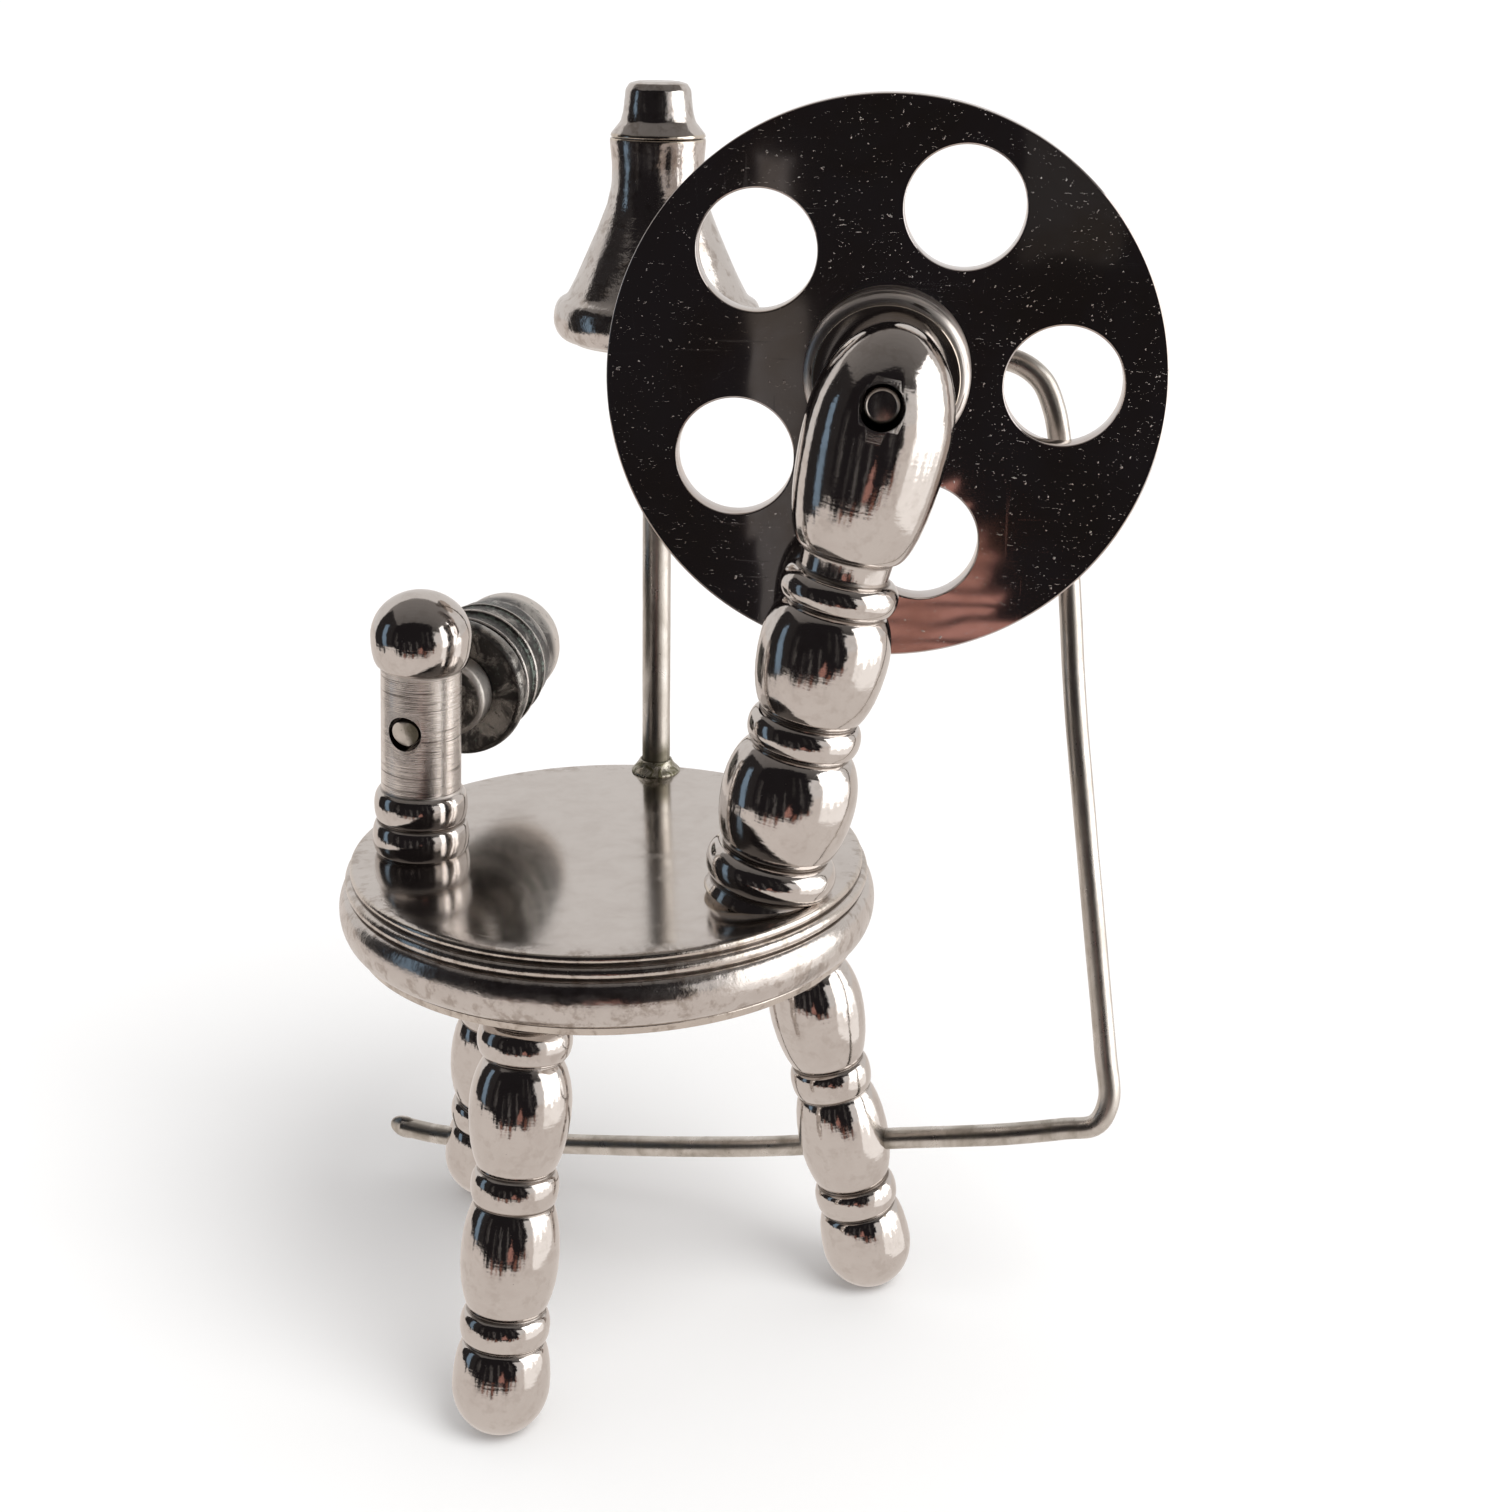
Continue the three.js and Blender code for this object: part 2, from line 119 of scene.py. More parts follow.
def whole_math(tree, operation, first, second):
    node = tree.nodes.new("FunctionNodeIntegerMath")
    node.operation = operation
    for socket, value in ((node.inputs[0], first), (node.inputs[1], second)):
        if isinstance(value, int):
            socket.default_value = value
        else:
            link(tree, value, socket)
    return node.outputs[0]


def sum_of(tree, operation, first, second=0.0):
    node = tree.nodes.new("ShaderNodeMath")
    node.operation = operation
    for socket, value in ((node.inputs[0], first), (node.inputs[1], second)):
        if isinstance(value, (int, float)):
            socket.default_value = value
        else:
            link(tree, value, socket)
    return node.outputs[0]


def vector_sum(tree, operation, first, second=(0, 0, 0), scale=None):
    node = tree.nodes.new("ShaderNodeVectorMath")
    node.operation = operation
    for socket, value in ((node.inputs[0], first), (node.inputs[1], second)):
        if isinstance(value, (tuple, list)):
            socket.default_value = value
        elif value is not None:
            link(tree, value, socket)
    if scale is not None:
        if isinstance(scale, (int, float)):
            node.inputs["Scale"].default_value = scale
        else:
            link(tree, scale, node.inputs["Scale"])
    return node.outputs[0]


def new_tree(name, inputs, output):
    """An empty node tree with named inputs, and the sockets that carry them."""
    tree = bpy.data.node_groups.new(name, "GeometryNodeTree")
    for label, kind in inputs:
        tree.interface.new_socket(label, in_out="INPUT", socket_type="NodeSocket" + kind)
    tree.interface.new_socket(output, in_out="OUTPUT", socket_type="NodeSocketGeometry")
    return tree, tree.nodes.new("NodeGroupInput").outputs


def ended(tree, shape, material):
    """Closes a tree: real geometry, one material, and the way out."""
    real = tree.nodes.new("GeometryNodeRealizeInstances")
    link(tree, shape, real.inputs[0])
    finish = tree.nodes.new("GeometryNodeSetMaterial")
    link(tree, real.outputs[0], finish.inputs["Geometry"])
    link(tree, material, finish.inputs["Material"])
    result = tree.nodes.new("NodeGroupOutput")
    link(tree, finish.outputs[0], result.inputs[0])
    return tree


def lathe():
    """Spins a row of profile points about Z, with the fine unevenness that hand buffing leaves."""
    inputs = (("Profile", "Geometry"), ("Facets", "Int"), ("Unevenness", "Float"), ("Seed", "Float"),
              ("Finish", "Material"))
    tree, given = new_tree("turned on the lathe", inputs, "Turned piece")
    count = tree.nodes.new("GeometryNodeAttributeDomainSize")
    link(tree, given["Profile"], count.inputs[0])
    rows = count.outputs["Point Count"]
    blank = tree.nodes.new("GeometryNodeMeshGrid")
    link(tree, whole_math(tree, "ADD", given["Facets"], 1), blank.inputs["Vertices X"])
    link(tree, rows, blank.inputs["Vertices Y"])
    index = tree.nodes.new("GeometryNodeInputIndex").outputs[0]
    column = whole_math(tree, "DIVIDE_FLOOR", index, rows)
    row = whole_math(tree, "MODULO", index, rows)

    def on_profile(field, kind):
        sample = tree.nodes.new("GeometryNodeSampleIndex")
        sample.data_type = kind
        sample.domain = "POINT"
        link(tree, given["Profile"], sample.inputs["Geometry"])
        link(tree, field, sample.inputs["Value"])
        link(tree, row, sample.inputs["Index"])
        return sample.outputs[0]

    def marked(name):
        mark = tree.nodes.new("GeometryNodeInputNamedAttribute")
        mark.data_type = "FLOAT"
        mark.inputs["Name"].default_value = name
        return on_profile(mark.outputs["Attribute"], "FLOAT")

    place = tree.nodes.new("ShaderNodeSeparateXYZ")
    position = tree.nodes.new("GeometryNodeInputPosition").outputs[0]
    link(tree, on_profile(position, "FLOAT_VECTOR"), place.inputs[0])
    angle = sum_of(tree, "MULTIPLY", sum_of(tree, "DIVIDE", column, given["Facets"]), math.tau)
    outward = tree.nodes.new("ShaderNodeCombineXYZ")
    link(tree, sum_of(tree, "COSINE", angle), outward.inputs[0])
    link(tree, sum_of(tree, "SINE", angle), outward.inputs[1])
    height = tree.nodes.new("ShaderNodeCombineXYZ")
    link(tree, place.outputs[2], height.inputs[2])
    reach = vector_sum(tree, "SCALE", outward.outputs[0], None, place.outputs[0])
    true_place = vector_sum(tree, "ADD", reach, height.outputs[0])
    in_mm = vector_sum(tree, "SCALE", true_place, None, 1 / MM)
    ripple = tree.nodes.new("ShaderNodeTexNoise")
    ripple.noise_dimensions = "4D"
    ripple.inputs["Scale"].default_value = 0.22
    ripple.inputs["Detail"].default_value = 2
    link(tree, in_mm, ripple.inputs["Vector"])
    link(tree, given["Seed"], ripple.inputs["W"])
    swing = sum_of(tree, "MULTIPLY", sum_of(tree, "SUBTRACT", ripple.outputs[0], 0.5), given["Unevenness"])
    near_axis = sum_of(tree, "MINIMUM", sum_of(tree, "MULTIPLY", place.outputs[0], 1 / MM), 1.0)
    swing = sum_of(tree, "MULTIPLY", swing, near_axis)
    placed = tree.nodes.new("GeometryNodeSetPosition")
    link(tree, blank.outputs["Mesh"], placed.inputs["Geometry"])
    uneven = vector_sum(tree, "SCALE", outward.outputs[0], None, swing)
    link(tree, vector_sum(tree, "ADD", true_place, uneven), placed.inputs["Position"])
    shape = placed.outputs[0]
    for name, field, kind in (("turned_mm", in_mm, "FLOAT_VECTOR"), ("groove", marked("groove"), "FLOAT"),
                              ("arris", marked("arris"), "FLOAT")):
        keep = tree.nodes.new("GeometryNodeStoreNamedAttribute")
        keep.data_type = kind
        keep.domain = "POINT"
        keep.inputs["Name"].default_value = name
        link(tree, shape, keep.inputs["Geometry"])
        link(tree, field, keep.inputs["Value"])
        shape = keep.outputs[0]
    close = tree.nodes.new("GeometryNodeMergeByDistance")
    close.inputs["Distance"].default_value = 2e-7
    link(tree, shape, close.inputs["Geometry"])
    smooth = tree.nodes.new("GeometryNodeSetShadeSmooth")
    link(tree, close.outputs[0], smooth.inputs[0])
    return ended(tree, smooth.outputs[0], given["Finish"])


def grown(base_mesh, tree, name, **settings):
    """Runs one node tree on a mesh and gives back the plain mesh that comes out of it."""
    seed_piece = bpy.data.objects.new(name + "_blank", base_mesh)
    bpy.context.collection.objects.link(seed_piece)
    modifier = seed_piece.modifiers.new("make", "NODES")
    modifier.node_group = tree
    for item in tree.interface.items_tree:
        if item.in_out == "INPUT" and item.name.replace(" ", "_") in settings:
            modifier[item.identifier] = settings[item.name.replace(" ", "_")]
    seed_piece.update_tag()
    graph = bpy.context.evaluated_depsgraph_get()
    mesh = bpy.data.meshes.new_from_object(seed_piece.evaluated_get(graph))
    seed_piece.modifiers.remove(modifier)
    bpy.data.objects.remove(seed_piece)
    mesh.name = name
    return mesh


CREASE = math.radians(38)


def faced_out(mesh):
    """Merges loose corners, turns every face outwards and marks the true arrises."""
    shape = bmesh.new()
    shape.from_mesh(mesh)
    bmesh.ops.remove_doubles(shape, verts=shape.verts, dist=2e-7)
    bmesh.ops.dissolve_degenerate(shape, edges=shape.edges, dist=1e-7)
    bmesh.ops.recalc_face_normals(shape, faces=shape.faces)
    shape.to_mesh(mesh)
    shape.free()
    mesh.set_sharp_from_angle(angle=CREASE)
    return mesh


lathe_tree = lathe()


def turned(name, profile, finish, facets=112, unevenness=0.012, seed=1.0, softness=0.09):
    """One piece off the lathe, its axis along Z."""
    rows = buffed(profile, softness=softness)
    line = bpy.data.meshes.new(name + "_profile")
    line.from_pydata([(radius * MM, 0, height * MM) for radius, height, _, _ in rows],
                     [(k, k + 1) for k in range(len(rows) - 1)], [])
    for mark, column in (("groove", 2), ("arris", 3)):
        values = line.attributes.new(mark, "FLOAT", "POINT").data
        for k, row in enumerate(rows):
            values[k].value = row[column]
    mesh = grown(line, lathe_tree, name, Facets=facets, Unevenness=unevenness * MM, Seed=seed, Finish=finish)
    return faced_out(mesh)


def stood(mesh, foot, towards, spin=0.0):
    """Moves a turned mesh so that its axis starts at foot and runs along towards."""
    turn = Vector(towards).to_track_quat("Z", "Y").to_matrix().to_4x4()
    mesh.transform(Matrix.Translation(Vector(foot)) @ turn @ Matrix.Rotation(spin, 4, "Z"))
    return mesh


def tarnish_and_shade_near(mesh, places):
    """Marks a darkening round given points: flux and verdigris at soldered joints, and painted shade at the
    flyer pin's sunken end and where the footman wire passes through the legs. Places are (point, reach,
    amount).
    """
    marks = mesh.attributes.new("grime_and_painted_shade", "FLOAT", "POINT").data
    spots = np.empty(len(mesh.vertices) * 3)
    mesh.vertices.foreach_get("co", spots)
    spots = spots.reshape(-1, 3)
    amount = np.zeros(len(spots))
    for point, reach, level in places:
        away = np.linalg.norm(spots - np.array(point), axis=1) / reach
        amount = np.maximum(amount, level * np.clip(1.25 - away, 0, 1))
    marks.foreach_set("value", amount)


def marked_all_over(mesh, mark, amount_at):
    """Writes one mark on a turned mesh from each point's own place on the lathe, in millimetres."""
    levels = mesh.attributes.new(mark, "FLOAT", "POINT").data
    for k, spot in enumerate(mesh.attributes["turned_mm"].data):
        levels[k].value = amount_at(spot.vector)


def piece(name, mesh, body, slot, *nodes):
    """Puts a finished mesh in the scene as the piece that stands for its CAD nodes."""
    metal = next(material for material in mesh.materials if material)
    mesh.materials.clear()
    mesh.materials.append(metal)
    mesh.polygons.foreach_set("material_index", [0] * len(mesh.polygons))
    thing = bpy.data.objects.new(name, mesh)
    bpy.context.collection.objects.link(thing)
    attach(thing, body)
    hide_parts(*nodes)
    return thing


class Finish:
    """A metal finish under construction: one principled metal with its patterns wired in."""

    def __init__(self, name):
        self.material = bpy.data.materials.new(name)
        self.material.use_nodes = True
        self.tree = self.material.node_tree
        self.metal = self.tree.nodes["Principled BSDF"]
        self.metal.inputs["Metallic"].default_value = 1.0

    def mark(self, name, vector=False):
        read = self.tree.nodes.new("ShaderNodeAttribute")
        read.attribute_name = name
        return read.outputs["Vector" if vector else "Fac"]

    def object_mm(self):
        place = self.tree.nodes.new("ShaderNodeTexCoord")
        return vector_sum(self.tree, "SCALE", place.outputs["Object"], None, 1 / MM)

    def grain(self, place, stretch, detail=3.0, rough=0.55, warp=0.0):
        pattern = self.tree.nodes.new("ShaderNodeTexNoise")
        pattern.inputs["Scale"].default_value = 1.0
        pattern.inputs["Detail"].default_value = detail
        pattern.inputs["Roughness"].default_value = rough
        pattern.inputs["Distortion"].default_value = warp
        link(self.tree, vector_sum(self.tree, "MULTIPLY", place, stretch), pattern.inputs["Vector"])
        return pattern.outputs[0]

    def between(self, value, low, high, out_low=0.0, out_high=1.0):
        ramp = self.tree.nodes.new("ShaderNodeMapRange")
        ramp.interpolation_type = "SMOOTHSTEP"
        link(self.tree, value, ramp.inputs["Value"])
        ramp.inputs["From Min"].default_value = low
        ramp.inputs["From Max"].default_value = high
        ramp.inputs["To Min"].default_value = out_low
        ramp.inputs["To Max"].default_value = out_high
        return ramp.outputs[0]

    def blended(self, amount, first, second):
        mix = self.tree.nodes.new("ShaderNodeMix")
        mix.data_type = "RGBA"
        link(self.tree, amount, mix.inputs["Factor"])
        for socket, value in ((mix.inputs[6], first), (mix.inputs[7], second)):
            if isinstance(value, tuple):
                socket.default_value = (*value, 1.0)
            else:
                link(self.tree, value, socket)
        return mix.outputs[2]

    def times(self, *values):
        product = values[0]
        for value in values[1:]:
            product = sum_of(self.tree, "MULTIPLY", product, value)
        return product

    def plus(self, *values):
        total = values[0]
        for value in values[1:]:
            total = sum_of(self.tree, "ADD", total, value)
        return total

    def relief(self, height, depth_mm, strength=1.0, under=None):
        bump = self.tree.nodes.new("ShaderNodeBump")
        bump.inputs["Strength"].default_value = strength
        bump.inputs["Distance"].default_value = depth_mm * MM
        link(self.tree, height, bump.inputs["Height"])
        if under is not None:
            link(self.tree, under, bump.inputs["Normal"])
        return bump.outputs[0]

    def done(self, colour, roughness, normal):
        link(self.tree, colour, self.metal.inputs["Base Color"])
        link(self.tree, roughness, self.metal.inputs["Roughness"])
        link(self.tree, normal, self.metal.inputs["Normal"])
        return self.material


def nickel(name, clean, brass_wear, smear, turning_depth, base_roughness):
    """Bright nickel on brass: lathe rings, polishing haze, brass at worn arrises, painted shade in the
    grooves, and darkening at marked spots of tarnish and painted shade.
    """
    finish = Finish(name)
    turned_place = finish.mark("turned_mm", vector=True)
    anywhere = finish.object_mm()
    rings = finish.grain(turned_place, (0.10, 0.10, 11.0), detail=4, rough=0.7)
    broad_rings = finish.grain(turned_place, (0.05, 0.05, 1.7), detail=2)
    haze = finish.grain(anywhere, (0.35, 0.35, 0.35), detail=5, rough=0.6, warp=0.4)
    specks = finish.grain(anywhere, (5.0, 5.0, 5.0), detail=2)
    scratch = finish.grain(anywhere, (0.5, 6.0, 9.0), detail=5, rough=0.75, warp=1.2)
    # Painted shade: the colour turns dark brown in the profile's grooves and at the marked spots, which are
    # partly tarnish at joints and partly painted shade.
    dull = finish.between(finish.plus(finish.times(finish.mark("groove"), 0.9), finish.mark("grime_and_painted_shade"),
                                      finish.times(haze, 0.7), -0.55), 0.25, 0.95)
    gold = finish.times(finish.between(finish.plus(finish.mark("arris"), finish.times(haze, 0.8)), 0.75, 1.3),
                        brass_wear)
    pits = finish.between(specks, 0.73, 0.80)
    colour = finish.blended(gold, clean, (0.80, 0.60, 0.30))
    colour = finish.blended(finish.between(haze, 0.35, 0.75, 0.0, 0.35), colour,
                            (clean[0] * 0.80, clean[1] * 0.77, clean[2] * 0.75))
    colour = finish.blended(finish.times(dull, 0.85), colour, (0.13, 0.095, 0.07))
    colour = finish.blended(finish.times(pits, 0.5), colour, (0.20, 0.17, 0.14))
    roughness = finish.plus(finish.between(haze, 0.45, 0.8, base_roughness, base_roughness + smear),
                            finish.times(dull, 0.35), finish.times(pits, 0.3))
    as_turned = finish.mark("as_turned")
    cut_lines = finish.grain(turned_place, (0.22, 0.22, 7.5), detail=2)
    colour = finish.blended(finish.times(as_turned, 0.7), colour, (0.80, 0.75, 0.71))
    colour = finish.blended(finish.times(finish.between(cut_lines, 0.60, 0.68), as_turned, 0.75), colour,
                            (0.22, 0.19, 0.17))
    handled = finish.mark("handled")
    dents = finish.grain(anywhere, (0.9, 0.9, 0.9), detail=4, rough=0.6)
    colour = finish.blended(finish.times(finish.between(dents, 0.48, 0.66), handled, 0.75), colour,
                            (0.30, 0.245, 0.20))
    roughness = finish.plus(roughness, finish.times(as_turned, 0.12), finish.times(handled, 0.10))
    normal = finish.relief(finish.times(dents, handled), 0.07)
    normal = finish.relief(broad_rings, 0.012, under=normal)
    normal = finish.relief(finish.times(rings, finish.plus(finish.times(as_turned, 9.0), 1.0)), turning_depth,
                           under=normal)
    normal = finish.relief(scratch, turning_depth * 0.5, under=normal)
    return finish.done(colour, roughness, normal)


table_nickel = nickel("table_nickel", (0.64, 0.60, 0.57), 0.10, 0.08, 0.0016, 0.12)
table_profile = [(0, TABLE_BOTTOM), (19.2, TABLE_BOTTOM), (19.3, TABLE_BOTTOM + 0.62),
                 (18.95, TABLE_BOTTOM + 0.76)]
table_profile += swell((19.4, TABLE_BOTTOM + 0.8), (20.4, TABLE_TOP - 3.4), (19.5, TABLE_TOP - 1.78), 40)
table_profile += swell((19.55, TABLE_TOP - 1.68), (19.85, TABLE_TOP - 1.25), (19.4, TABLE_TOP - 0.8), 10)
table_profile += swell((19.2, TABLE_TOP - 0.7), (19.45, TABLE_TOP - 0.35), (19.2, TABLE_TOP - 0.04), 10)
table_profile += [(19.05, TABLE_TOP - 0.02), (18.85, TABLE_TOP), (0, TABLE_TOP)]
WHEEL_POST_FOOT = table_axis + Vector((12.6, -6.9, TABLE_TOP)) * MM
FLYER_POST_FOOT = table_axis + Vector((-14.25, -0.9, TABLE_TOP)) * MM
ROD_FOOT = table_axis + Vector((1.5, 18.0, TABLE_TOP)) * MM
table_mesh = turned("table", table_profile, table_nickel, facets=192, unevenness=0.05, seed=3.0,
                    softness=0.05)
marked_all_over(table_mesh, "handled", lambda spot: 0.7 if math.hypot(spot.x, spot.y) > 18.9 else 0.04)
table_mesh.transform(Matrix.Translation(table_axis))
tarnish_and_shade_near(table_mesh, [(ROD_FOOT, 3.4 * MM, 0.9), (WHEEL_POST_FOOT, 5.8 * MM, 0.7),
                          (FLYER_POST_FOOT, 4.9 * MM, 0.7)])
piece("turned_table", table_mesh, "root", "table_nickel", "table")

# ---- Legs ---------------------------------------------------------------------------------------
# Three turned brass legs, beads and bulges down to a ball foot, nickel plated. A short tenon at
# the top is pressed into the table and soldered; the ball's underside is rubbed dull and flat.
polished_nickel = nickel("polished_nickel", (0.65, 0.61, 0.58), 0.22, 0.07, 0.0016, 0.06)
LEG_PROFILE = swell((0, -3.6), (3.6, 0.3), (2.8, 3.7), 30)
for low, wide, high, slimness in (((2.85, 3.8), (3.3, 5.0), (2.8, 6.2), 1.0),
                                  ((2.75, 6.3), (3.6, 10.4), (2.85, 14.5), 1.5),
                                  ((2.8, 14.6), (3.2, 15.9), (2.75, 17.1), 1.0),
                                  ((2.7, 17.2), (3.7, 22.0), (2.7, 25.6), 1.5),
                                  ((2.75, 25.7), (3.42, 27.0), (2.7, 28.3), 1.0)):
    LEG_PROFILE += swell(low, wide, high, slimness=slimness)
LEG_PROFILE += [(2.7, 33.5), (0, 33.5)]
BALL_CENTRE = 3.3


def polar(radius, degrees, height):
    turn = math.radians(degrees)
    return table_axis + Vector((radius * math.cos(turn), radius * math.sin(turn), height)) * MM


def sawn(mesh, *cuts):
    """Saws a mesh at flat cuts, each a point and the way it faces, and closes each cut."""
    shape = bmesh.new()
    shape.from_mesh(mesh)
    for point, facing in cuts:
        everything = shape.verts[:] + shape.edges[:] + shape.faces[:]
        cut = bmesh.ops.bisect_plane(shape, geom=everything, plane_co=point, plane_no=facing,
                                     clear_outer=True)
        rim = [part for part in cut["geom_cut"] if isinstance(part, bmesh.types.BMEdge)]
        bmesh.ops.edgeloop_fill(shape, edges=rim)
    bmesh.ops.recalc_face_normals(shape, faces=shape.faces)
    shape.to_mesh(mesh)
    shape.free()
    mesh.set_sharp_from_angle(angle=CREASE)
    return mesh


LEGS = {
    "leg_front_left": (-104, 15.4, -107.5, 19.95),
    "leg_right": (7.5, 14.6, 7, 20.45),
    "leg_back_left": (134, 14.6, 134, 19.6),
}
WIRE_THROUGH_LEGS = [table_axis + Vector((19.2, 2.3, 12.8)) * MM,
                     table_axis + Vector((-13.0, 13.4, 5.2)) * MM]
for number, (leg, (top_angle, top_radius, foot_angle, foot_radius)) in enumerate(LEGS.items()):
    foot = polar(foot_radius, foot_angle, BALL_CENTRE)
    socket = polar(top_radius, top_angle, TABLE_BOTTOM)
    leg_mesh = turned(leg, LEG_PROFILE, polished_nickel, facets=96, unevenness=0.05, seed=10.0 + number)
    stood(leg_mesh, foot, socket - foot, spin=number * 2.1)
    marked_all_over(leg_mesh, "handled", lambda spot: 0.22)
    sawn(leg_mesh, ((0, 0, 0), (0, 0, -1)))
    sawn(leg_mesh, ((0, 0, (TABLE_BOTTOM + 0.02) * MM), (0, 0, 1)))
    sole = Vector((foot.x, foot.y, -0.3 * MM))
    # The dark ring where the footman wire passes through each leg is painted shade, with tarnish, in place of
    # the shadowed gap round a bore that the leg doesn't have.
    tarnish_and_shade_near(leg_mesh, [(sole, 2.2 * MM, 0.55)] + [(place, 3.6 * MM, 0.8) for place in WIRE_THROUGH_LEGS])
    piece("turned_" + leg, leg_mesh, "root", "polished_nickel", leg)

# ---- Wheel post ---------------------------------------------------------------------------------
# The leaning post that carries the wheel: beads and bulges like the legs, with an egg on top that
# is drilled through for the axle. Turned brass, nickel plated, soldered to the table.
WHEEL_POST_LEAN = math.radians(12.6)
axle_low, axle_high = (Vector(corner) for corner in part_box("wheel_axle"))
AXLE_X = (axle_low.x + axle_high.x) / 2
AXLE_Z = (axle_low.z + axle_high.z) / 2
AXLE_RADIUS = (axle_high.x - axle_low.x) / 2 / MM
EGG_BORE = 1.53


def drilled(mesh, radius_mm, centre, towards, length_mm, steps=72):
    """Bores a round hole clean through a mesh."""
    bore = bmesh.new()
    bmesh.ops.create_cone(bore, cap_ends=True, segments=steps, radius1=radius_mm * MM, radius2=radius_mm * MM,
                          depth=length_mm * MM)
    bit_mesh = bpy.data.meshes.new("bit")
    bore.to_mesh(bit_mesh)
    bore.free()
    turn = Vector(towards).to_track_quat("Z", "Y").to_matrix().to_4x4()
    bit_mesh.transform(Matrix.Translation(Vector(centre)) @ turn)
    bit = bpy.data.objects.new("bit", bit_mesh)
    blank = bpy.data.objects.new("blank", mesh)
    for thing in (bit, blank):
        bpy.context.collection.objects.link(thing)
    cut = blank.modifiers.new("drill", "BOOLEAN")
    cut.operation = "DIFFERENCE"
    cut.solver = "EXACT"
    cut.object = bit
    graph = bpy.context.evaluated_depsgraph_get()
    result = bpy.data.meshes.new_from_object(blank.evaluated_get(graph))
    bpy.data.objects.remove(blank)
    bpy.data.objects.remove(bit)
    result.name = mesh.name
    result.polygons.foreach_set("use_smooth", [True] * len(result.polygons))
    result.set_sharp_from_angle(angle=CREASE)
    return result


post_profile = [(0, -0.4), (4.55, -0.4), (4.4, 0.05), (4.15, 0.6)]
for low, wide, high, slimness in (((4.1, 0.7), (4.8, 2.0), (3.8, 3.3), 1.0),
                                  ((3.7, 3.4), (4.9, 7.7), (3.5, 11.4), 1.25),
                                  ((3.45, 11.5), (4.1, 12.7), (3.4, 13.9), 1.0),
                                  ((3.35, 14.0), (4.65, 18.8), (3.45, 22.2), 1.25),
                                  ((3.45, 22.3), (4.2, 23.4), (3.25, 24.6), 1.0)):
    post_profile += swell(low, wide, high, slimness=slimness)
post_profile += [(3.15, 24.8), (3.25, 26.0)] + swell((3.4, 26.2), (5.1, 34.6), (0, 42.2), 40)
post_mesh = turned("wheel_post", post_profile, polished_nickel, facets=128, unevenness=0.06, seed=20.0)
marked_all_over(post_mesh, "handled", lambda spot: 0.22)
stood(post_mesh, WHEEL_POST_FOOT, (math.sin(WHEEL_POST_LEAN), 0, math.cos(WHEEL_POST_LEAN)))
axle_in_egg = Vector((AXLE_X, WHEEL_POST_FOOT.y, AXLE_Z))
post_mesh = drilled(post_mesh, EGG_BORE, axle_in_egg, (0, 1, 0), 30)
tarnish_and_shade_near(post_mesh, [(WHEEL_POST_FOOT, 5.2 * MM, 0.45), (axle_in_egg, 5.0 * MM, 0.25)])
piece("turned_wheel_post", post_mesh, "root", "polished_nickel", "wheel_post")

# ---- Flyer post ---------------------------------------------------------------------------------
# The short post at the left: two rings, a plain shank left with its lathe marks, and a ball cap.
# Its cross hole holds the bobbin's pin, pushed in from behind and cut off on the slant.
FLYER_LEAN = math.radians(3)
pin_direction = Vector((0.1426, 0.9898, 0)).normalized()
PIN_RADIUS = 1.0
PIN_BORE = 1.32
pin_centre = table_axis + Vector((-13.965, -0.9, 48.6)) * MM
flyer_profile = [(0, -0.6), (3.3, -0.6)] + swell((3.3, 0), (3.65, 1.2), (3.2, 2.5))
flyer_profile += swell((3.2, 2.6), (3.52, 3.8), (3.05, 5.0)) + [(3.0, 5.1), (3.0, 14.6)]
flyer_profile += swell((3.1, 14.7), (3.73, 17.0), (0, 20.4), 36)
flyer_mesh = turned("flyer_post", flyer_profile, polished_nickel, facets=112, unevenness=0.02, seed=30.0)
stood(flyer_mesh, FLYER_POST_FOOT, (math.sin(FLYER_LEAN), 0, math.cos(FLYER_LEAN)))
flyer_mesh = drilled(flyer_mesh, PIN_BORE, pin_centre, pin_direction, 12)
marked_all_over(flyer_mesh, "handled", lambda spot: 0.22)
marked_all_over(flyer_mesh, "as_turned", lambda spot: 1.0 if 5.0 < spot.z < 14.75 else 0.0)
tarnish_and_shade_near(flyer_mesh, [(FLYER_POST_FOOT, 4.4 * MM, 0.45), (pin_centre, 3.3 * MM, 0.3)])
piece("turned_flyer_post", flyer_mesh, "root", "polished_nickel", "flyer_post")

# ---- Flyer pin ----------------------------------------------------------------------------------
# Hard wire, snipped obliquely at the front end where it stops just inside the post.
def wire_metal_finish():
    finish = Finish("wire_metal")
    place = finish.object_mm()
    along = finish.mark("turned_mm", vector=True)
    lines = finish.grain(along, (5.0, 5.0, 0.22), detail=4, rough=0.7)
    haze = finish.grain(place, (0.45, 0.45, 0.30), detail=5, rough=0.6, warp=0.6)
    specks = finish.grain(place, (4.0, 4.0, 4.0), detail=3)
    # Darkening at the marked spots: tarnish at joints, painted shade at the pin's sunken end and where the
    # wire passes through the legs, and a darker run under the table.
    tarnish_and_shade = finish.between(finish.plus(finish.mark("grime_and_painted_shade"), finish.times(haze, 0.8),
                                         finish.times(lines, 0.25), -0.62), 0.1, 0.8)
    colour = finish.blended(finish.between(haze, 0.35, 0.7), (0.68, 0.645, 0.60), (0.52, 0.48, 0.43))
    colour = finish.blended(finish.times(tarnish_and_shade, 0.85), colour, (0.15, 0.135, 0.085))
    colour = finish.blended(finish.times(finish.between(specks, 0.66, 0.74), 0.6), colour, (0.10, 0.09, 0.07))
    roughness = finish.plus(finish.between(haze, 0.3, 0.75, 0.26, 0.38), finish.times(tarnish_and_shade, 0.18))
    normal = finish.relief(haze, 0.03)
    normal = finish.relief(lines, 0.004, under=normal)
    return finish.done(colour, roughness, normal)


